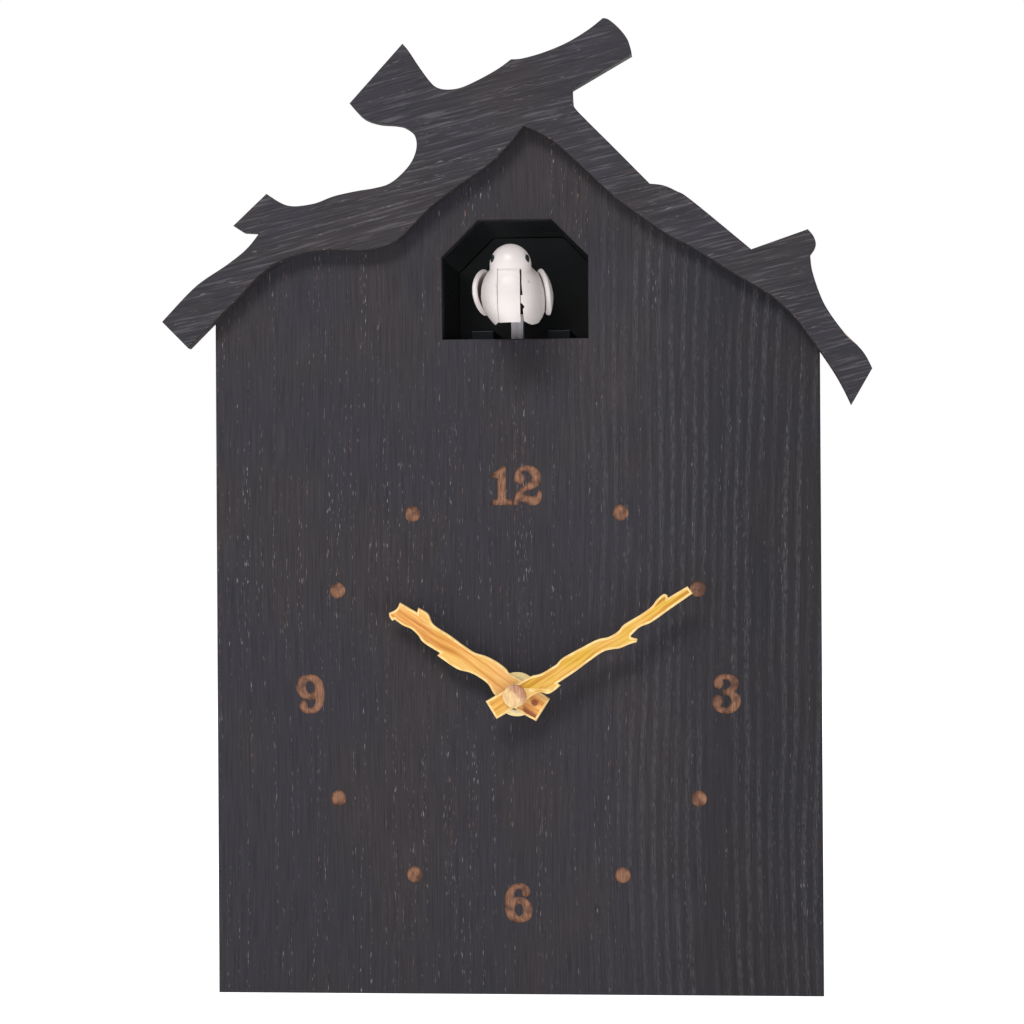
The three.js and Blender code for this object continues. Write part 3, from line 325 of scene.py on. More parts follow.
class Look:
    """One procedural material. Its methods return the sockets of the nodes they add."""

    def __init__(self, name, roughness=0.5, metallic=0.0, specular=0.5):
        self.material = bpy.data.materials.new(name)
        self.material.use_nodes = True
        self.tree = self.material.node_tree
        self.shader = self.tree.nodes["Principled BSDF"]
        self.give("Roughness", roughness)
        self.give("Metallic", metallic)
        self.give("Specular IOR Level", specular)

    def give(self, name, value):
        self.fill(self.shader.inputs[name], value)

    def fill(self, socket, value):
        if isinstance(value, bpy.types.NodeSocket):
            self.tree.links.new(value, socket)
        else:
            socket.default_value = value

    def add(self, kind, inputs, output=0, **settings):
        node = self.tree.nodes.new(kind)
        for key, value in settings.items():
            setattr(node, key, value)
        for key, value in inputs.items():
            self.fill(node.inputs[key], value)
        return node.outputs[output]

    def place(self, tilt=0.0, scale=(1, 1, 1)):
        """The piece's own coordinates in millimetres, turned about Y and stretched."""
        own = self.add("ShaderNodeTexCoord", {}, "Object")
        turn = {0: own, "Rotation": (0, tilt, 0), "Scale": (1 / MM, 1 / MM, 1 / MM)}
        upright = self.add("ShaderNodeMapping", turn)
        return self.stretched(upright, scale)

    def stretched(self, vector, scale):
        return self.add("ShaderNodeVectorMath", {0: vector, 1: scale}, operation="MULTIPLY")

    def noise(self, vector, detail=1.0, roughness=0.5, distortion=0.0):
        return self.add("ShaderNodeTexNoise", {
            "Vector": vector, "Scale": 1.0, "Detail": detail, "Roughness": roughness,
            "Distortion": distortion})

    def math(self, operation, first, second=0.0):
        return self.add("ShaderNodeMath", {0: first, 1: second}, operation=operation)

    def step(self, value, low, high):
        """Rises smoothly from 0 at low to 1 at high."""
        return self.add("ShaderNodeMapRange", {
            "Value": value, "From Min": low, "From Max": high}, interpolation_type="SMOOTHSTEP")

    def mix(self, share, first, second):
        return self.add("ShaderNodeMix", {0: share, 6: first, 7: second}, 2, data_type="RGBA")

    def ramp(self, share, stops):
        colour = self.add("ShaderNodeValToRGB", {0: share})
        elements = colour.node.color_ramp.elements
        while len(elements) < len(stops):
            elements.new(0.5)
        for element, (position, value) in zip(elements, stops):
            element.position = position
            element.color = value
        return colour

    def axis(self, vector, name):
        return self.add("ShaderNodeSeparateXYZ", {0: vector}, name)

    def bump(self, height, millimetres, strength=1.0):
        normal = self.add("ShaderNodeBump", {
            "Height": height, "Distance": millimetres * MM, "Strength": strength})
        self.give("Normal", normal)


def swayed(look, along, amount, rate=(0.02, 0.02, 0.007)):
    """Coordinates whose grain lines wander sideways by some millimetres."""
    sway = look.noise(look.stretched(along, rate), detail=1.5)
    shift = look.math("MULTIPLY", look.math("SUBTRACT", sway, 0.5), amount)
    offset = look.add("ShaderNodeCombineXYZ", {0: shift, 1: 0.0, 2: 0.0})
    return look.add("ShaderNodeVectorMath", {0: along, 1: offset}, operation="ADD")


def stained_wood(name, tilt=0.0, flecks=1.0, dashes=0.0, stripes_from=None):
    """Black-stained ash. The grain runs along Z, or leans from it by the tilt."""
    look = Look(name, specular=0.12)
    along = look.place(tilt)
    grain = swayed(look, along, 7)
    fibre = look.noise(look.stretched(grain, (2.6, 2.6, 0.07)), detail=3, roughness=0.65)
    cloud = look.noise(look.stretched(along, (0.045, 0.045, 0.03)), detail=2)
    pores = look.noise(look.stretched(grain, (3.4, 3.4, 0.42)), detail=1)
    rows = look.noise(look.stretched(grain, (0.75, 0.75, 0.012)), detail=1)
    cool = look.ramp(fibre, [(0.3, rgb(41, 40, 45)), (0.7, rgb(58, 56, 62))])
    warm = look.ramp(fibre, [(0.3, rgb(43, 40, 43)), (0.7, rgb(62, 58, 61))])
    wood = look.mix(look.step(cloud, 0.4, 0.65), cool, warm)

    if dashes:
        lines = look.noise(look.stretched(grain, (1.5, 1.5, 0.075)), detail=2, roughness=0.6)
        wood = look.mix(look.math("MULTIPLY", look.step(lines, 0.52, 0.7), dashes), wood,
                        rgb(108, 106, 110))
    if stripes_from is not None:
        bent = swayed(look, along, 15, (0.014, 0.014, 0.006))
        bands = look.add("ShaderNodeTexWave", {
            "Vector": bent, "Scale": 0.1, "Distortion": 1.2, "Detail": 1.0,
            "Detail Scale": 0.35}, 1, bands_direction="X")
        grit = look.noise(look.stretched(bent, (2.4, 2.4, 0.4)), detail=2, roughness=0.7)
        zone = look.noise(look.stretched(bent, (0.12, 0.12, 0.012)), detail=1)
        across = look.axis(along, "X")
        reach = look.step(across, stripes_from - 22, stripes_from + 18)
        darker = look.math("MULTIPLY", look.step(across, stripes_from, stripes_from + 45), 0.38)
        wood = look.mix(darker, wood, rgb(24, 24, 28))
        band = look.math("MULTIPLY", look.step(bands, 0.35, 0.95), look.step(grit, 0.36, 0.66))
        band = look.math("MULTIPLY", band, look.step(zone, 0.3, 0.6))
        band = look.math("MULTIPLY", look.math("MULTIPLY", band, reach), 0.3)
        wood = look.mix(band, wood, rgb(98, 96, 101))
        flecks = look.math("SUBTRACT", flecks, look.math("MULTIPLY", reach, 0.4))
    light = look.math("MULTIPLY", look.step(pores, 0.6, 0.74), look.step(rows, 0.48, 0.68))
    hue = look.noise(look.stretched(along, (0.3, 0.3, 0.08)), detail=1)
    fleck_colour = look.mix(look.step(hue, 0.46, 0.6), rgb(142, 138, 141), rgb(120, 88, 74))
    look.give("Base Color", look.mix(look.math("MULTIPLY", light, flecks), wood, fleck_colour))
    look.give("Roughness", look.add("ShaderNodeMapRange", {
        "Value": fibre, "To Min": 0.5, "To Max": 0.7}))
    height = look.math("SUBTRACT", fibre, look.step(pores, 0.55, 0.75))
    look.bump(height, 0.1, 0.6)
    return look.material


def worn_edge(name, tilt=0.0):
    """Stained wood whose rounded edge is rubbed through to brown in places."""
    look = Look(name, roughness=0.6, specular=0.25)
    along = look.place(tilt)
    rub = look.noise(look.stretched(along, (0.5, 0.5, 0.5)), detail=3, roughness=0.7)
    fibre = look.noise(look.stretched(along, (2.6, 2.6, 0.1)), detail=2)
    black = look.ramp(fibre, [(0.3, rgb(34, 31, 33)), (0.7, rgb(60, 56, 59))])
    brown = look.ramp(fibre, [(0.3, rgb(96, 70, 56)), (0.7, rgb(148, 122, 102))])
    colour = look.mix(look.step(rub, 0.6, 0.72), black, brown)
    from_chip = look.add("ShaderNodeVectorMath", {
        0: look.stretched(look.place(), (1, 0, 1)), 1: (CHIPS_X, 0, CHIPS_Z)}, "Value",
        operation="DISTANCE")
    chip = look.math("MULTIPLY", look.step(from_chip, 4.5, 2.5), look.step(rub, 0.46, 0.52))
    look.give("Base Color", look.mix(chip, colour, rgb(206, 166, 140)))
    look.bump(fibre, 0.08, 0.5)
    return look.material


def engraved_wood(name):
    """The burnt floor of the engraved numerals and dots."""
    look = Look(name, roughness=0.8, specular=0.15)
    along = look.place()
    fibre = look.noise(look.stretched(along, (2.4, 2.4, 0.35)), detail=3, roughness=0.7)
    scorch = look.noise(look.stretched(along, (0.35, 0.35, 0.35)), detail=2)
    brown = look.ramp(fibre, [(0.3, rgb(98, 68, 54)), (0.52, rgb(138, 100, 79)),
                              (0.74, rgb(164, 122, 97))])
    look.give("Base Color", look.mix(look.step(scorch, 0.42, 0.68), brown, rgb(92, 66, 56)))
    look.bump(fibre, 0.15, 0.8)
    return look.material


def twig_wood(name, angle, warm=0.0, knot_on_tail=False):
    """Golden veneer whose streaks run along the hand."""
    look = Look(name, roughness=0.5, specular=0.3)
    along = look.place(angle)
    grain = swayed(look, along, 3, (0.12, 0.12, 0.05))
    streak = look.noise(look.stretched(grain, (0.75, 0.75, 0.035)), detail=3, roughness=0.6)
    fine = look.noise(look.stretched(grain, (4.5, 4.5, 0.25)), detail=2)
    patch = look.noise(look.stretched(along, (0.16, 0.16, 0.09)), detail=1)
    gold = look.ramp(streak, [(0.3, rgb(166, 108, 32)), (0.43, rgb(200, 146, 42)),
                              (0.55, rgb(218, 178, 70)), (0.7, rgb(202, 150, 44))])
    amber = look.ramp(streak, [(0.3, rgb(190, 118, 54)), (0.46, rgb(220, 156, 80)),
                               (0.58, rgb(234, 184, 114)), (0.72, rgb(222, 160, 80))])
    blend = look.math("MULTIPLY_ADD", look.step(patch, 0.4, 0.62), 0.5)
    blend.node.inputs[2].default_value = warm
    colour = look.mix(blend, gold, amber)
    line = look.math("MULTIPLY", look.step(fine, 0.6, 0.72), 0.4)
    colour = look.mix(line, colour, rgb(150, 92, 38))
    if knot_on_tail:
        colour = look.mix(red_tail(look, fine), colour, rgb(150, 82, 48))
    look.give("Base Color", colour)
    look.bump(look.math("ADD", fine, streak), 0.1, 0.5)
    return look.material


def red_tail(look, grain):
    """Where the hour hand's short end is stained red: its lower edge and a small knot."""
    own = look.place()
    x = look.axis(own, "X")
    z = look.math("SUBTRACT", look.axis(own, "Z"), DIAL_Z)
    across = look.math("ADD", look.math("MULTIPLY", x, 0.57), look.math("MULTIPLY", z, 0.82))
    rough = look.math("MULTIPLY", grain, 1.6)
    edge = look.step(look.math("ADD", across, rough), 0.4, -0.6)
    tail = look.step(x, 1.4, 2.6)
    from_knot = look.add("ShaderNodeVectorMath", {
        0: look.stretched(own, (1, 0, 1)), 1: (KNOT[0], 0, DIAL_Z + KNOT[1])}, "Value",
        operation="DISTANCE")
    knot = look.step(look.math("ADD", from_knot, rough), 2.0, 1.5)
    return look.math("MAXIMUM", look.math("MULTIPLY", edge, tail), knot)


def pale_edge(name):
    """The light cut edge of the thin veneered board."""
    look = Look(name, roughness=0.6, specular=0.25)
    layers = look.noise(look.place(scale=(0.6, 5, 0.6)), detail=2)
    look.give("Base Color", look.ramp(layers, [(0.35, rgb(228, 184, 110)),
                                               (0.6, rgb(246, 214, 150))]))
    return look.material


def cap_wood(name):
    """A beige slice of branch with a rosy knot on one side."""
    look = Look(name, roughness=0.35, specular=0.5)
    along = look.place()
    x = look.axis(along, "X")
    z = look.math("SUBTRACT", look.axis(along, "Z"), DIAL_Z)
    across = look.math("ADD", look.math("MULTIPLY", x, 0.75), look.math("MULTIPLY", z, 0.66))
    ripple = look.noise(look.stretched(along, (0.5, 0.5, 0.5)), detail=3)
    knot = look.step(look.math("ADD", across, look.math("MULTIPLY", ripple, 2.2)), 1.2, 2.6)
    fine = look.noise(look.stretched(along, (1.6, 1.6, 0.5)), detail=3)
    beige = look.ramp(fine, [(0.3, rgb(206, 162, 108)), (0.65, rgb(232, 200, 150))])
    rosy = look.ramp(fine, [(0.3, rgb(150, 98, 74)), (0.7, rgb(206, 156, 124))])
    look.give("Base Color", look.mix(knot, beige, rosy))
    look.bump(fine, 0.06, 0.5)
    return look.material


def moulded(name, colour, roughness, specular=0.5, texture=0.02, blotch=0.06):
    """Moulded plastic, a little uneven in tone and gloss."""
    look = Look(name, specular=specular)
    fine = look.noise(look.place(scale=(3, 3, 3)), detail=2)
    broad = look.noise(look.place(scale=(0.12, 0.12, 0.12)), detail=2)
    darker = tuple(value * (1 - blotch) for value in colour)
    look.give("Base Color", look.ramp(broad, [(0.3, rgb(*darker)), (0.7, rgb(*colour))]))
    look.give("Roughness", look.add("ShaderNodeMapRange", {
        "Value": broad, "To Min": roughness * 0.85, "To Max": roughness * 1.15}))
    look.bump(fine, texture, 0.5)
    return look.material


def metal(name, colour, roughness, brushed=(0.2, 3, 3)):
    look = Look(name, metallic=1.0)
    lines = look.noise(look.place(scale=brushed), detail=3)
    darker = tuple(value * 0.85 for value in colour)
    look.give("Base Color", look.ramp(lines, [(0.3, rgb(*darker)), (0.7, rgb(*colour))]))
    look.give("Roughness", look.add("ShaderNodeMapRange", {
        "Value": lines, "To Min": roughness * 0.8, "To Max": roughness * 1.25}))
    look.bump(lines, 0.02, 0.4)
    return look.material


def wound_copper(name):
    """Lacquered copper wire, wound around X."""
    look = Look(name, roughness=0.35, metallic=0.9)
    turns = look.add("ShaderNodeTexWave", {
        "Vector": look.place(), "Scale": 0.9, "Distortion": 0.6}, 1, bands_direction="X")
    look.give("Base Color", look.ramp(turns, [(0.2, rgb(112, 58, 30)), (0.8, rgb(196, 112, 60))]))
    look.bump(turns, 0.12)
    return look.material


def circuit_green(name):
    look = Look(name, roughness=0.35)
    tracks = look.noise(look.place(scale=(0.5, 0.5, 0.5)), detail=0)
    line = look.math("PINGPONG", look.math("MULTIPLY", tracks, 14), 1.0)
    look.give("Base Color", look.mix(look.step(line, 0.62, 0.7), rgb(24, 92, 54), rgb(46, 128, 78)))
    look.bump(look.step(line, 0.55, 0.75), 0.04)
    return look.material


def speaker_paper(name, middle):
    """Black pressed paper with rings around the speaker's axis."""
    look = Look(name, roughness=0.85, specular=0.2)
    own = look.place()
    centred = look.add("ShaderNodeVectorMath", {0: own, 1: middle}, operation="SUBTRACT")
    level = look.stretched(centred, (1, 0, 1))
    distance = look.add("ShaderNodeVectorMath", {0: level}, "Value", operation="LENGTH")
    rings = look.math("SINE", look.math("MULTIPLY", distance, 3.5))
    fibre = look.noise(look.stretched(own, (3, 3, 3)), detail=3)
    look.give("Base Color", look.ramp(fibre, [(0.3, rgb(26, 26, 27)), (0.7, rgb(52, 51, 50))]))
    look.bump(look.math("ADD", rings, fibre), 0.12, 0.6)
    return look.material


def battery_wrap(name):
    """Printed foil sleeve: dark blue, with a gold band towards one end."""
    look = Look(name, roughness=0.3, metallic=0.4)
    own = look.place()
    x = look.axis(own, "X")
    fine = look.noise(look.stretched(own, (2, 2, 2)), detail=1)
    blue = look.ramp(fine, [(0.3, rgb(26, 48, 84)), (0.7, rgb(38, 66, 108))])
    band = look.math("COMPARE", x, 16.0)
    band.node.inputs[2].default_value = 6.0
    look.give("Base Color", look.mix(band, blue, rgb(190, 150, 70)))
    return look.material


SPEAKER_LOW, SPEAKER_HIGH = span("speaker_cone")
SPEAKER_MIDDLE = [(low + high) / 2 for low, high in zip(SPEAKER_LOW, SPEAKER_HIGH)]

LOOKS = {
    "stained_wood": stained_wood("stained_wood"),
    "twig_wood": pale_edge("twig_edge"),
    "white_plastic": moulded("white_plastic", (217, 209, 207), 0.38, texture=0.015, blotch=0.03),
    "gloss_black_plastic": moulded("gloss_black_plastic", (24, 31, 37), 0.22, specular=0.3,
                                   texture=0.01),
    "matt_black_plastic": moulded("matt_black_plastic", (34, 34, 36), 0.55, texture=0.06),
    "cream_plastic": moulded("cream_plastic", (250, 232, 192), 0.45),
    "gear_plastic": moulded("gear_plastic", (236, 232, 218), 0.42),
    "circuit_board": circuit_green("circuit_green"),
    "steel": metal("steel", (196, 197, 200), 0.32),
    "brass": metal("brass", (214, 172, 92), 0.3),
    "copper_coil": wound_copper("wound_copper"),
    "speaker_paper": speaker_paper("speaker_paper", SPEAKER_MIDDLE),
    "battery_wrap": battery_wrap("battery_wrap"),
    "lead_insulation": moulded("lead_insulation", (150, 30, 28), 0.4),
}


def slots_by_node():
    found = {}
    for part in RECORD["subparts"]:
        found[part["node"]] = part["material_slot"]
    return found


SLOT_OF = slots_by_node()
for node_name, node_object in frame["nodes"].items():
    node_object.data.materials.clear()
    node_object.data.materials.append(LOOKS[SLOT_OF[node_name]])

# ------------------------------------------------------------- panel and roof

# Numerals are drawn in hundredths of their height, about their middle.
SIX = [
    [(1, 50), (14, 48), (25, 40), (29, 30), (27, 21), (19, 15), (11, 18), (7, 25), (8, 32)],
    [(8, 32), (1, 35), (-6, 32), (-11, 21), (-13, 12)],
    [(-13, 12), (-3, 15), (5, 15), (16, 12), (27, 4), (35, -10), (36, -21), (32, -35),
     (22, -46), (1, -50), (-18, -46), (-30, -33), (-35, -12), (-36, 5), (-33, 24), (-24, 39),
     (-12, 47), (1, 50)],
]
THREE_FIGURE = [
    [(0, 50), (16, 46), (27, 38), (31, 25), (27, 14), (19, 5)],
    [(19, 5), (29, -1), (35, -14), (34, -27), (27, -39), (14, -48), (-1, -50), (-18, -47),
     (-30, -37), (-35, -22), (-32, -8), (-23, -2), (-12, -8), (-9, -20), (-15, -31)],
    [(-15, -31), (-7, -34), (3, -33), (10, -25), (12, -15), (7, -6), (-1, -4), (-10, -5)],
    [(-10, -5), (-10, 12)],
    [(-10, 12), (0, 12), (7, 18), (10, 25), (6, 33), (-2, 36), (-10, 35)],
    [(-10, 35), (-8, 25), (-13, 15), (-21, 12), (-30, 18), (-33, 28), (-28, 40), (-16, 47),
     (0, 50)],
]
ONE = [
    [(-31, 50), (-26, 50)], [(-26, 50), (-26, -35)], [(-26, -35), (-11, -36)],
    [(-11, -36), (-10, -50)], [(-10, -50), (-65, -50)], [(-65, -50), (-62, -36)],
    [(-62, -36), (-47, -35)], [(-47, -35), (-47, 18)], [(-47, 18), (-62, 19)],
    [(-62, 19), (-65, 29)], [(-65, 29), (-49, 37), (-31, 50)],
]
TWO = [
    [(27, 50), (43, 48), (59, 35), (64, 17), (59, 1), (45, -8), (27, -14), (17, -21)],
    [(17, -21), (29, -24), (41, -28), (51, -23), (54, -14)],
    [(54, -14), (62, -11)],
    [(62, -11), (65, -24), (62, -40), (51, -50), (35, -50), (19, -43), (8, -41), (5, -50)],
    [(5, -50), (-7, -50)],
    [(-7, -50), (-7, -36), (0, -20), (12, -6), (27, 4), (36, 12), (38, 23), (31, 33), (19, 36),
     (13, 33)],
    [(13, 33), (21, 19), (18, 7), (9, 2), (-2, 8), (-5, 21), (0, 37), (12, 47), (27, 50)],
]
COUNTER_MIDDLE = (1, -18)     # of the six's round eye
COUNTER_SIZE = (10.5, 15.5)

BRANCH = [
    [(-96.5, 184.1), (-95.3, 185.5), (-87.1, 193.8), (-78.6, 199.5), (-73.2, 203.7),
     (-69.5, 208.1)],
    [(-69.5, 208.1), (-74, 208.4)],
    [(-74, 208.4), (-76.7, 210.2)],
    [(-76.7, 210.2), (-67.5, 218.8)],
    [(-67.5, 218.8), (-61.6, 215.5), (-54.7, 215.9), (-48.9, 217.9), (-42.6, 219.2),
     (-37.9, 219.9), (-33.7, 221.1), (-30, 224), (-27.4, 227.3), (-26.2, 231), (-26.8, 234.2),
     (-29.4, 236.4), (-32, 237.1), (-36.8, 237.6), (-40.9, 239.2), (-44.5, 243.1)],
    [(-44.5, 243.1), (-29.9, 259.1)],
    [(-29.9, 259.1), (-28.3, 257.2), (-25.7, 253.2), (-22.6, 248.9), (-20.5, 247),
     (-17.6, 246.4), (-13.9, 246.9), (-9.2, 248.9), (-4, 251.7), (-0.3, 254.3)],
    [(-0.3, 254.3), (2.8, 254.5), (8.5, 256), (14.8, 258.5), (20.5, 261.8), (24.7, 265)],
    [(24.7, 265), (26.2, 264.6), (28.8, 262.4), (31.1, 259.5), (32.1, 256.8), (32.4, 255)],
    [(32.4, 255), (16.3, 245.8)],
    [(16.3, 245.8), (16.4, 242.9), (17, 240.8), (20.4, 237.1), (27, 230.4), (37.1, 220)],
    [(37.1, 220), (40.7, 219.5), (44.3, 217.9), (48.4, 215.3), (64.3, 201.9)],
    [(64.3, 201.9), (79.5, 207.1)],
    [(79.5, 207.1), (80.9, 205.4), (81.6, 203.5), (81.4, 202), (80.1, 200.1)],
    [(80.1, 200.1), (80.6, 196), (82.4, 190.2), (84.6, 185.5), (88.7, 179.7), (92.8, 175.5),
     (94.8, 172.9), (96.5, 169.5)],
    [(96.5, 169.5), (90.9, 159.8)],
    [(90.9, 159.8), (88.6, 164.6), (85.6, 169.8), (80, 178), (75.4, 184), (69.3, 189.6),
     (60.1, 195.2), (48.3, 202.7), (42.4, 205.8), (34.7, 211.1), (27, 217), (19.2, 224.5),
     (11.5, 231.5), (6.3, 234.7), (3, 236.1)],
    [(3, 236.1), (-1.5, 230.6), (-6.7, 225.7), (-14.6, 220.3), (-22.3, 214.6), (-29.6, 207.3),
     (-33.3, 204.7), (-37.5, 203.5), (-41.7, 203), (-50.6, 203.3), (-56.4, 202.7),
     (-61.1, 201.4), (-65.9, 199.3), (-70.1, 196), (-74.4, 191.5), (-80.7, 185.3),
     (-89.3, 176.8)],
    [(-89.3, 176.8), (-96.5, 184.1)],
]
BRANCH_TILT = math.radians(-77)    # its grain rises gently to the right


def hour_place(hour):
    turn = hour * math.tau / 12
    return DIAL_RADIUS * math.sin(turn), DIAL_Z + DIAL_RADIUS * math.cos(turn)


def figure(stretches, hour, with_counter=False, half_turn=False):
    """A cutter for one engraved numeral."""
    x, z = hour_place(hour)
    scale = NUMERAL_HEIGHT / 100 * (-1 if half_turn else 1)
    loops = [outline(stretches)]
    if with_counter:
        across, up = COUNTER_SIZE
        loops.append([(COUNTER_MIDDLE[0] + across * cx, COUNTER_MIDDLE[1] + up * cz)
                      for cx, cz in circle(1, steps=32)])
    placed = [[(x + scale * px, z + scale * pz) for px, pz in loop] for loop in loops]
    return flat(placed, PANEL_FRONT - ENGRAVING, PANEL_FRONT + ENGRAVING)


def dot(hour):
    x, z = hour_place(hour)
    loop = circle(DOT_RADIUS, x, z, 40)
    return flat([loop], PANEL_FRONT - ENGRAVING, PANEL_FRONT + ENGRAVING)


def window_loop():
    half, cut_back = WINDOW_HALF, WINDOW_CHAMFER
    return [
        (-half, WINDOW_BOTTOM), (half, WINDOW_BOTTOM), (half, WINDOW_TOP - cut_back),
        (half - cut_back, WINDOW_TOP), (-half + cut_back, WINDOW_TOP),
        (-half, WINDOW_TOP - cut_back)]


def front_panel():
    eaves = PEAK_Z - HALF_WIDTH * ROOF_SLOPE
    gable = [(-HALF_WIDTH, 0), (HALF_WIDTH, 0), (HALF_WIDTH, eaves), (0, PEAK_Z),
             (-HALF_WIDTH, eaves)]
    shaft_hole = circle(SHAFT_HOLE_RADIUS, 0, DIAL_Z)
    board = flat([gable, window_loop(), shaft_hole], PANEL_FRONT, PANEL_BACK, arris=0.45)
    cutters = [dot(hour) for hour in (1, 2, 4, 5, 7, 8, 10, 11)]
    cutters += [figure(ONE, 12), figure(TWO, 12), figure(THREE_FIGURE, 3),
                figure(SIX, 6, with_counter=True),
                figure(SIX, 9, with_counter=True, half_turn=True)]
    mesh = cut(board, *cutters)
    mesh.materials.clear()
    mesh.materials.append(stained_wood("panel_wood", flecks=0.85, stripes_from=22))
    mesh.materials.append(engraved_wood("engraved_wood"))
    for face in mesh.polygons:
        middle = face.center
        from_dial = math.hypot(middle.x, middle.z - DIAL_Z)
        in_ring = abs(from_dial - DIAL_RADIUS) < NUMERAL_HEIGHT
        face.material_index = int(in_ring and 0.02 < middle.y - PANEL_FRONT < ENGRAVING + 0.02)
    return piece("panel_board", mesh, None, "stained_wood", "case", "front_panel")


def roof_branch():
    low, high = BRANCH_LOW[1], BRANCH_HIGH[1]
    mesh = flat([outline(BRANCH, 8)], low, high, arris=0.4)
    mesh.materials.clear()
    mesh.materials.append(stained_wood("branch_wood", tilt=BRANCH_TILT, flecks=0.4, dashes=0.34))
    mesh.materials.append(worn_edge("branch_edge", tilt=BRANCH_TILT))
    for face in mesh.polygons:
        face.material_index = int(abs(face.normal.y) < 0.95)
    return piece("branch", mesh, None, "stained_wood", "case", "roof_branch_plate")


front_panel()
roof_branch()
ROOF_TILT = math.pi / 2 - math.atan(ROOF_SLOPE)
side_wood = stained_wood("side_wood")
for wall in ("left_wall", "right_wall"):
    polished(wall, 0.45, 3, side_wood)
for side, tilt in (("left", -ROOF_TILT), ("right", ROOF_TILT)):
    roof_wood = stained_wood(f"{side}_roof_wood", tilt=tilt, flecks=0.7, dashes=0.3)
    polished(f"{side}_roof_board", 0.45, 3, roof_wood)
polished("bottom_panel", 0.45, 3, stained_wood("bottom_wood", tilt=math.pi / 2))


# ------------------------------------------------------------------------ bird

HEAD_MIDDLE = (0.2, -57, 197.3)
HEAD_RADII = (5.6, 6.2, 5.75)
VISOR_Z = 196
NAPE_Y = -50.5
STRIP = (-3.0, 3.2)           # left and right side of the breast strip
STRIP_BACK_Y = -52
STRIP_INSET = 0.35
STRIP_BOTTOM_Z = 181.7
SHELL_THICKNESS = 0.9
BELLY_Z = 180.95              # the shells end here in front, open below
BELLY_RISE = 0.12             # the opening's climb towards the tail
TIPS_X = {-1: -4.3, 1: 5.6}   # the shells' lowest points, beside the strip
TIP_SLOPE = 0.8

# Level, middle and half width in X, front and back of the bird's body, from its belly up.
BODY_LEVELS = [
    (179.6, 0.75, 3.4, -59.3, -35), (181.4, 0.75, 4.9, -60.2, -34),
    (182.8, 0.7, 6.2, -61.2, -32.8), (184.3, 0.6, 7.3, -62, -31.2),
    (186.6, 0.4, 8.35, -62.8, -29.6), (189.2, 0.3, 8.8, -63.1, -29),
    (191.8, 0.2, 8.6, -62.9, -29.2), (194.2, 0.1, 7.8, -62.4, -30),
    (196, 0.1, 6.7, -61.4, -31.8), (198, 0.1, 4.7, -58.5, -35.5), (199.4, 0.1, 2.6, -54, -41),
]


def body_blank():
    """The body as level rings, wider than round and tapering to the tail."""
    steps = 48
    editor = bmesh.new()
    rings = []
    for z, centre, half, front, back in BODY_LEVELS:
        middle, reach = (front + back) / 2, (back - front) / 2
        ring = []
        for index in range(steps):
            turn = index * math.tau / steps
            side, along = math.cos(turn), math.sin(turn)
            fuller = (abs(side) ** 2.5 + abs(along) ** 2.5) ** (-1 / 2.5)
            taper = 1 - 0.3 * max(0.0, along) ** 2
            ring.append(editor.verts.new((
                centre + side * fuller * half * taper, middle + along * fuller * reach, z)))
        rings.append(ring)
    for first, second in zip(rings, rings[1:]):
        for index in range(steps):
            after = (index + 1) % steps
            editor.faces.new((first[index], first[after], second[after], second[index]))
    editor.faces.new(rings[0][::-1])
    editor.faces.new(rings[-1])
    mesh = bpy.data.meshes.new("body_blank")
    editor.to_mesh(mesh)
    editor.free()
    return mesh


def bird_hull():
    """Head and body run together as one smooth skin."""
    rough = merged(body_blank(), ball(HEAD_RADII, HEAD_MIDDLE, 48, 32))
    skin = changed(rough, "REMESH", mode="VOXEL", voxel_size=0.4)
    return changed(skin, "SMOOTH", factor=0.5, iterations=8)


def carved(hull, planes, keep):
    """The part of the hull's skin whose faces pass keep, cut cleanly at the planes."""
    mesh = hull.copy()

    def carve(editor):
        for point, normal in planes:
            everything = editor.verts[:] + editor.edges[:] + editor.faces[:]
            bmesh.ops.bisect_plane(editor, geom=everything, plane_co=point, plane_no=normal)
        lost = [face for face in editor.faces if not keep(face.calc_center_median())]
        bmesh.ops.delete(editor, geom=lost, context="FACES")
    return edited(mesh, carve)


def walled_with_painted_shade(mesh, thickness, inset=0.0):
    """An open skin given thickness inwards, its inside faces painted black as painted shade, its
    rim a little rounded.
    """
    if inset:
        mesh = changed(mesh, "DISPLACE", strength=-inset, mid_level=0)
    mesh.materials.clear()
    mesh.materials.append(LOOKS["white_plastic"])
    # Painted shade: the inside faces take black plastic, though the shells are white through, to
    # stand in for the shade inside the body.
    mesh.materials.append(LOOKS["matt_black_plastic"])
    solid = changed(mesh, "SOLIDIFY", thickness=thickness, offset=-1, material_offset=1)
    return changed(solid, "BEVEL", width=0.12, segments=2, limit_method="ANGLE",
                   angle_limit=math.radians(50))


def in_head(point):
    return point.z > VISOR_Z and point.y < NAPE_Y


def in_strip(point, left, right):
    return left < point.x < right and point.y < STRIP_BACK_Y and point.z < VISOR_Z


HEAD_CUTS = [((0, 0, VISOR_Z), (0, 0, 1)), ((0, NAPE_Y, 0), (0, 1, 0))]


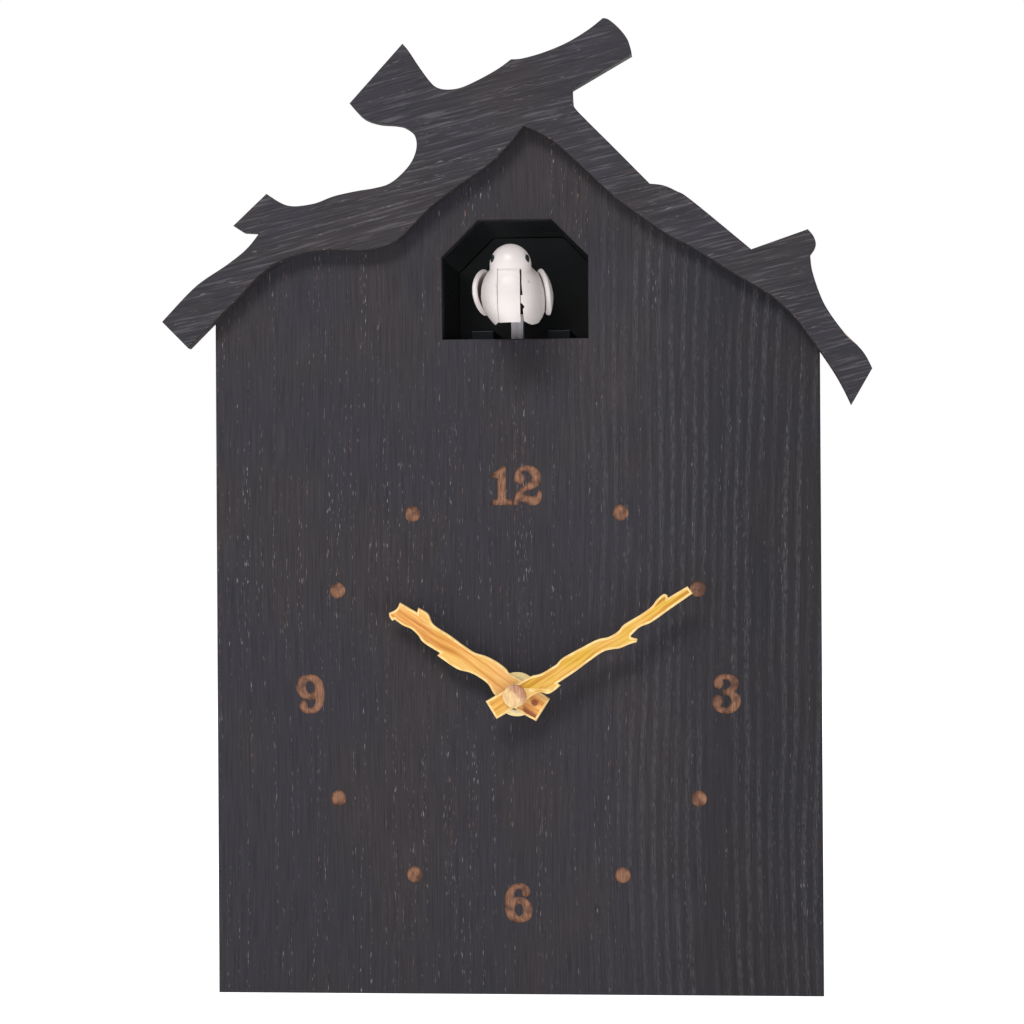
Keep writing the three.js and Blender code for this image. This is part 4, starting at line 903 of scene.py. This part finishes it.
def shell_side(hull, side):
    """One half of the body, open below and where the breast strip is."""
    gap = 0.1 if side < 0 else 0.22
    edge = STRIP[0] - gap if side < 0 else STRIP[1] + gap
    tip = Vector((TIPS_X[side], -59, BELLY_Z))
    belly = Vector((0, -BELLY_RISE, 1))
    corner = Vector((side * TIP_SLOPE, -BELLY_RISE, 1))
    planes = HEAD_CUTS + [
        ((edge, 0, 0), (1, 0, 0)), ((0, STRIP_BACK_Y, 0), (0, 1, 0)), ((0, 0, 0), (1, 0, 0)),
        (tip, belly), (tip, corner)]

    def keep(point):
        if point.x * side < 0 or in_head(point):
            return False
        if (point - tip).dot(belly) < 0 or (point - tip).dot(corner) < 0:
            return False
        facing = point.y < STRIP_BACK_Y and point.z < VISOR_Z
        return not (facing and abs(point.x) < abs(edge))
    mesh = walled_with_painted_shade(carved(hull, planes, keep), SHELL_THICKNESS)
    tools = marks(side) + (slits() if side > 0 else [])
    return cut(mesh, *tools)


def slits():
    """The wider parts of the gap on the strip's right, above and below a narrow bridge."""
    edge = STRIP[1]
    upper = [(edge - 1, 195.8), (edge + 0.25, 195.8), (edge + 0.3, 192), (edge + 0.6, 188.9),
             (edge - 1, 188.9)]
    lower = [(edge - 1, 186.9), (edge + 0.3, 186.8), (edge + 1.05, 185.9), (edge + 0.6, 185.2),
             (edge + 0.75, 180), (edge - 1, 180)]
    return [flat([loop], -65, STRIP_BACK_Y) for loop in (upper, lower)]


def marks(side):
    """Small moulding marks on a shell's front."""
    if side > 0:
        return [ball((0.42, 1.0, 0.42), (5.4, -60.8, 192.6))]
    return [ball((0.35, 0.9, 0.85), (-4.0, -61.7, 185.9))]


def breast_strip(hull):
    planes = HEAD_CUTS + [
        ((STRIP[0], 0, 0), (1, 0, 0)), ((STRIP[1], 0, 0), (1, 0, 0)),
        ((0, STRIP_BACK_Y, 0), (0, 1, 0)), ((0, 0, STRIP_BOTTOM_Z), (0, 0, 1))]
    skin = carved(hull, planes, lambda point: (
        in_strip(point, *STRIP) and point.z > STRIP_BOTTOM_Z))
    return walled_with_painted_shade(skin, SHELL_THICKNESS, inset=STRIP_INSET)


def head_cap(hull):
    skin = carved(hull, HEAD_CUTS, in_head)
    return walled_with_painted_shade(skin, SHELL_THICKNESS)


BODY_MIDDLE_Y = -46
WING_MIDDLE = (-42.4, 191.3)  # in Y and Z
WING_REACH = (9.2, 6.5)
WING_LENGTH = 19.5            # half length of the curved skin that the wings lie on
# Each wing's widest reach, that place's height, and how far it curves up and down.
WING_CREST = {-1: (11.0, 191.6, 9.4, 10.4), 1: (10.8, 189.6, 11.4, 12.5)}
WING_THICKNESS = 1.4


def wing(side):
    """A leaf-shaped blade that hugs the body."""
    rings, steps = 9, 48
    editor = bmesh.new()

    def on_skin(share, turn):
        y = WING_MIDDLE[0] + WING_REACH[0] * share * math.cos(turn)
        z = WING_MIDDLE[1] + WING_REACH[1] * share * math.sin(turn)
        out, crest_z, curve_up, curve_down = WING_CREST[side]
        curve = curve_up if z > crest_z else curve_down
        level = 1 - ((y - BODY_MIDDLE_Y) / WING_LENGTH) ** 2 - ((z - crest_z) / curve) ** 2
        return editor.verts.new((side * out * math.sqrt(level), y, z))
    centre = on_skin(0, 0)
    inner = None
    for ring in range(1, rings + 1):
        outer = [on_skin(ring / rings, step * math.tau / steps) for step in range(steps)]
        for step in range(steps):
            after = (step + 1) % steps
            if inner is None:
                editor.faces.new((centre, outer[step], outer[after]))
            else:
                editor.faces.new((inner[step], outer[step], outer[after], inner[after]))
        inner = outer
    bmesh.ops.recalc_face_normals(editor, faces=editor.faces)
    if side * sum(face.normal.x for face in editor.faces) < 0:
        bmesh.ops.reverse_faces(editor, faces=editor.faces)
    mesh = bpy.data.meshes.new("wing")
    editor.to_mesh(mesh)
    editor.free()
    solid = changed(mesh, "SOLIDIFY", thickness=WING_THICKNESS, offset=-1)
    return changed(solid, "BEVEL", width=0.55, segments=3, limit_method="ANGLE",
                   angle_limit=math.radians(50))


def eye(side):
    """A small bead set into the head, looking out to one side."""
    turn = math.radians(61 if side > 0 else -57)
    rise = 1.5
    level = math.sqrt(1 - (rise / HEAD_RADII[2]) ** 2)
    place = Vector((HEAD_MIDDLE[0] + HEAD_RADII[0] * math.sin(turn) * level,
                    HEAD_MIDDLE[1] - HEAD_RADII[1] * math.cos(turn) * level,
                    HEAD_MIDDLE[2] + rise))
    bead = ball((0.85, 0.3, 1.12), (0, 0, 0), 24, 16)
    lean = Matrix.Rotation(-side * math.radians(24), 4, "Y")
    bead.transform(Matrix.Translation(place) @ Matrix.Rotation(turn, 4, "Z") @ lean)
    return bead


def stem():
    low, high = span("bird_stem")
    post = block(low, (high[0], high[1], 186))
    flute = block((-0.35, low[1] - 1, low[2] - 1), (0.35, low[1] + 0.4, 187))
    return rounded(cut(post, flute), 0.15)


def bird():
    white = LOOKS["white_plastic"]
    # Painted shade: the post is the same white plastic as the rest of the bird, given a cooler
    # lilac grey tint that stands in for the shade it sits in.
    post_shade_tint = moulded("stem_shade_tinted_white", (226, 220, 228), 0.4)
    hull = bird_hull()
    parts = [
        ("bird_left_half", shell_side(hull, -1), "bird", "left_shell"),
        ("bird_right_half", shell_side(hull, 1), "bird", "right_shell"),
        ("bird_head_cap", head_cap(hull), "bird", "bird_head"),
        ("bird_breast_strip", breast_strip(hull), "beak", "beak_lever"),
        ("bird_left_wing", wing(-1), "left_wing", "left_wing"),
        ("bird_right_wing", wing(1), "right_wing", "right_wing"),
        ("bird_post", stem(), "bird", "bird_stem"),
    ]
    for name, mesh, body, node in parts:
        piece(name, mesh, post_shade_tint if node == "bird_stem" else white, "white_plastic", body, node)
    glossy = LOOKS["gloss_black_plastic"]
    for side, name in ((-1, "left_eye"), (1, "right_eye")):
        piece(name, eye(side), glossy, "gloss_black_plastic", "bird")


bird()
polished("window_tunnel", 0.25)
stage_black = moulded("stage_black", (12, 18, 23), 0.3, specular=0.2)
polished("stage_deck", 0.3, material=stage_black)


# ----------------------------------------------------------------------- hands

HOUR_TWIG = [
    [(-34.4, 22.4), (-32.4, 23.4), (-31.4, 25.2)],
    [(-31.4, 25.2), (-26.7, 22.5)],
    [(-26.7, 22.5), (-26.4, 23.8)],
    [(-26.4, 23.8), (-25.6, 23.4)],
    [(-25.6, 23.4), (-23.6, 22), (-22.2, 19.2), (-17.7, 16.2), (-14.2, 13.6), (-11.1, 11.6),
     (-8, 10.6), (-4.9, 9), (-2.5, 7.1), (-1.4, 5.8), (3.2, 3.2), (7.3, 0.5), (9.3, -1)],
    [(9.3, -1), (5.5, -7)],
    [(5.5, -7), (2.4, -5.3), (-1.8, -2.6), (-5.6, 0), (-7.4, 2.9), (-9.8, 4.8), (-12.5, 6.2),
     (-16, 7.2), (-21.3, 10.8)],
    [(-21.3, 10.8), (-20.5, 11.5)],
    [(-20.5, 11.5), (-25, 14.3), (-26.4, 16.2), (-28.3, 18), (-30.6, 19), (-32.8, 20.6)],
    [(-32.8, 20.6), (-33.5, 20.3)],
    [(-33.5, 20.3), (-34.2, 21.2), (-34.4, 22.4)],
]
MINUTE_TWIG = [
    [(46.7, 29.4), (41.4, 26.3)],
    [(41.4, 26.3), (41.2, 27.1)],
    [(41.2, 27.1), (40.2, 27.3), (38.5, 25.9), (36.8, 23.8), (33.8, 21.7), (29.6, 19.2),
     (28, 17.4), (25.5, 15.9), (22.2, 15.1), (18.1, 13), (13.1, 10.3), (11.4, 8.6), (10.2, 7.8),
     (7.3, 6.1), (4.4, 5.3), (1.5, 3.8), (-3.2, 1.2), (-7.9, -1.4)],
    [(-7.9, -1.4), (-5, -6.2)],
    [(-5, -6.2), (-1.8, -4.3), (2.2, -1.6), (6.4, 0.9), (9.3, 0.6), (12.4, 2.8)],
    [(12.4, 2.8), (11.6, 3.4)],
    [(11.6, 3.4), (16, 6.3), (19.7, 9), (24.2, 12), (28.4, 12.8), (30.8, 13.8), (32.9, 14.4)],
    [(32.9, 14.4), (33.1, 15.3), (32.3, 15.5), (31.4, 15.9), (31.7, 16.5)],
    [(31.7, 16.5), (33.8, 18.4), (37, 19.8), (42, 23.3), (48.1, 27.5)],
    [(48.1, 27.5), (46.7, 29.4)],
]
HOUR_DIRECTION = math.radians(145)
MINUTE_DIRECTION = math.radians(32)
VENEER = 0.06
VENEER_MARGIN = 0.65          # the board shows around the veneer


def hand(name, twig, node, body, hole_radius, wood):
    """A pale twig of thin board, with golden veneer inside its rim."""
    low, high = span(node)
    loops = [[(x, DIAL_Z + z) for x, z in outline(twig, 5)], circle(hole_radius, 0, DIAL_Z)]
    board = flat(loops, low[1] + VENEER, high[1], arris=0.42)
    veneer = flat(loops, low[1], low[1] + 2 * VENEER, inset=VENEER_MARGIN)
    for mesh, material in ((board, LOOKS["twig_wood"]), (veneer, wood)):
        mesh.materials.clear()
        mesh.materials.append(material)
    return piece(name, joined(board, veneer), None, "twig_wood", body, node)


def hand_cap():
    front, back = CAP_LOW[1], CAP_HIGH[1]
    radius = (CAP_HIGH[0] - CAP_LOW[0]) / 2
    crown, rim = 0.35, 0.5
    profile = [(radius * share, front + crown * share ** 2) for share in (0, 0.3, 0.6, 0.8)]
    profile += [
        (radius - rim * (1 - math.sin(turn)), front + crown + rim * (1 - math.cos(turn)))
        for turn in (step * math.pi / 10 for step in range(6))]
    profile += [(radius, back - 0.1), (radius - 0.1, back), (0, back)]
    mesh = turned(profile, 0, DIAL_Z)
    return piece("hand_button", mesh, cap_wood("cap_wood"), "cream_plastic", "minute_train",
                 "hand_cap")


def dial_washer():
    radius = WASHER_HIGH[0]
    front, back = WASHER_LOW[1], WASHER_HIGH[1]
    profile = [(4.2, back), (4.2, front), (radius - 0.9, front), (radius - 0.7, front + 0.2),
               (radius - 0.25, front + 0.2), (radius, front + 0.4), (radius, back), (4.2, back)]
    mesh = welded(turned(profile, 0, DIAL_Z))
    cream = moulded("washer_cream", (255, 230, 166), 0.3, specular=0.8)
    return piece("washer", mesh, cream, "cream_plastic", "case", "dial_washer")


hand("hour_twig", HOUR_TWIG, "hour_hand", "hour_train", 2.6,
     twig_wood("hour_wood", HOUR_DIRECTION - math.pi / 2, warm=0.6, knot_on_tail=True))
hand("minute_twig", MINUTE_TWIG, "minute_hand", "minute_train", 1.5,
     twig_wood("minute_wood", MINUTE_DIRECTION - math.pi / 2))
hand_cap()
dial_washer()
polished("bushing_nut", 0.25, material=LOOKS["cream_plastic"])


# ------------------------------------------------------------- back and inside

# How far each piece's edges are rounded.
EDGES = {
    "back_cover": 0.3, "hanger_plate": 0.15, "back_screw_1": 0.12, "back_screw_2": 0.12,
    "back_screw_3": 0.12, "back_screw_4": 0.12, "battery_box": 0.2, "battery_door": 0.25,
    "battery_1": 0.25, "battery_2": 0.25, "battery_3": 0.25, "volume_slider": 0.25,
    "test_button": 0.25, "circuit_board": 0.15, "speaker_frame": 0.2, "speaker_cone": 0.1,
    "speaker_magnet": 0.3, "bird_motor": 0.3, "carriage_guide": 0.25, "bird_carriage": 0.1,
    "reduction_gear": 0.07, "motor_pinion": 0.07, "movement_front_case": 0.25,
    "movement_rear_case": 0.4, "stator_coil": 0.12, "rotor": 0.04, "intermediate_wheel": 0.04,
    "seconds_wheel": 0.04, "third_wheel": 0.04, "centre_wheel": 0.04, "minute_arbor": 0.06,
    "minute_wheel": 0.06, "hour_wheel": 0.06, "setting_knob": 0.12,
}
for node_name, width in EDGES.items():
    polished(node_name, width)


def lead(node):
    """A wire's run, made round."""
    mesh = changed(node_mesh(node), "SUBSURF", levels=1, render_levels=1)
    return piece(f"{node}_round", mesh, LOOKS[SLOT_OF[node]], SLOT_OF[node], "case", node)


for node_name in ("battery_lead", "motor_lead", "movement_lead", "speaker_lead"):
    lead(node_name)


# ------------------------------------------------------------ camera and light

LENS_SHARE = 2.8081           # focal length over sensor width
EYE = (60.9, -821.8, 128.8)
YAW = math.radians(4.5376)
PITCH = math.radians(0.2)
ROLL = math.radians(-0.3468)
AMBIENT = 0.26                # light of the surroundings, of which the camera sees 1
FLOOR_GLOW = 0.82
FLOOR_HALF = 30               # half width of the floor, in metres
KEY_WATTS = 7.4
BACK_FILL_WATTS = 6
LIT_MIDDLE = (0, 0, 0.13)     # where both lights aim, in metres


def camera():
    data = bpy.data.cameras.new("camera")
    data.sensor_width = 36
    data.lens = data.sensor_width * LENS_SHARE
    data.clip_start = 0.01
    holder = bpy.data.objects.new("camera", data)
    bpy.context.collection.objects.link(holder)
    ahead = Vector((-math.sin(YAW) * math.cos(PITCH), math.cos(YAW) * math.cos(PITCH),
                    math.sin(PITCH)))
    turn = ahead.to_track_quat("-Z", "Y").to_matrix().to_4x4()
    place = Matrix.Translation(Vector(EYE) * MM)
    holder.matrix_world = place @ turn @ Matrix.Rotation(ROLL, 4, "Z")
    bpy.context.scene.camera = holder


def area_light(name, place, aim, size, watts):
    data = bpy.data.lights.new(name, "AREA")
    data.shape = "RECTANGLE"
    data.size, data.size_y = size
    data.energy = watts
    holder = bpy.data.objects.new(name, data)
    bpy.context.collection.objects.link(holder)
    holder.location = place
    holder.rotation_euler = (Vector(aim) - Vector(place)).to_track_quat("-Z", "Y").to_euler()


def studio():
    """White surroundings that light the clock less than they show."""
    world = bpy.data.worlds.new("studio")
    world.use_nodes = True
    tree = world.node_tree
    sky = tree.nodes["Background"]
    sky.inputs["Color"].default_value = (1, 1, 1, 1)
    ray = tree.nodes.new("ShaderNodeLightPath")
    strength = tree.nodes.new("ShaderNodeMapRange")
    strength.inputs["To Min"].default_value = AMBIENT
    strength.inputs["To Max"].default_value = 1.0
    tree.links.new(ray.outputs["Is Camera Ray"], strength.inputs["Value"])
    tree.links.new(strength.outputs[0], sky.inputs["Strength"])
    bpy.context.scene.world = world
    bpy.context.scene.view_settings.view_transform = "Standard"
    area_light("key", (-0.2, -0.8, 0.85), LIT_MIDDLE, (0.5, 0.28), KEY_WATTS)
    area_light("back_fill", (0.3, 1.1, 0.8), LIT_MIDDLE, (0.8, 0.6), BACK_FILL_WATTS)

    floor_look = Look("floor", roughness=0.9, specular=0.1)
    speck = floor_look.noise(floor_look.place(scale=(0.05, 0.05, 0.05)), detail=2)
    floor_look.give("Base Color", floor_look.ramp(speck, [
        (0.3, (0.86, 0.86, 0.86, 1)), (0.7, (0.9, 0.9, 0.9, 1))]))
    floor_look.give("Emission Color", (1, 1, 1, 1))
    floor_look.give("Emission Strength", FLOOR_GLOW)
    editor = bmesh.new()
    bmesh.ops.create_grid(editor, x_segments=8, y_segments=8, size=FLOOR_HALF)
    mesh = bpy.data.meshes.new("floor")
    editor.to_mesh(mesh)
    editor.free()
    mesh.materials.append(floor_look.material)
    floor = bpy.data.objects.new("floor", mesh)
    bpy.context.collection.objects.link(floor)


camera()
studio()
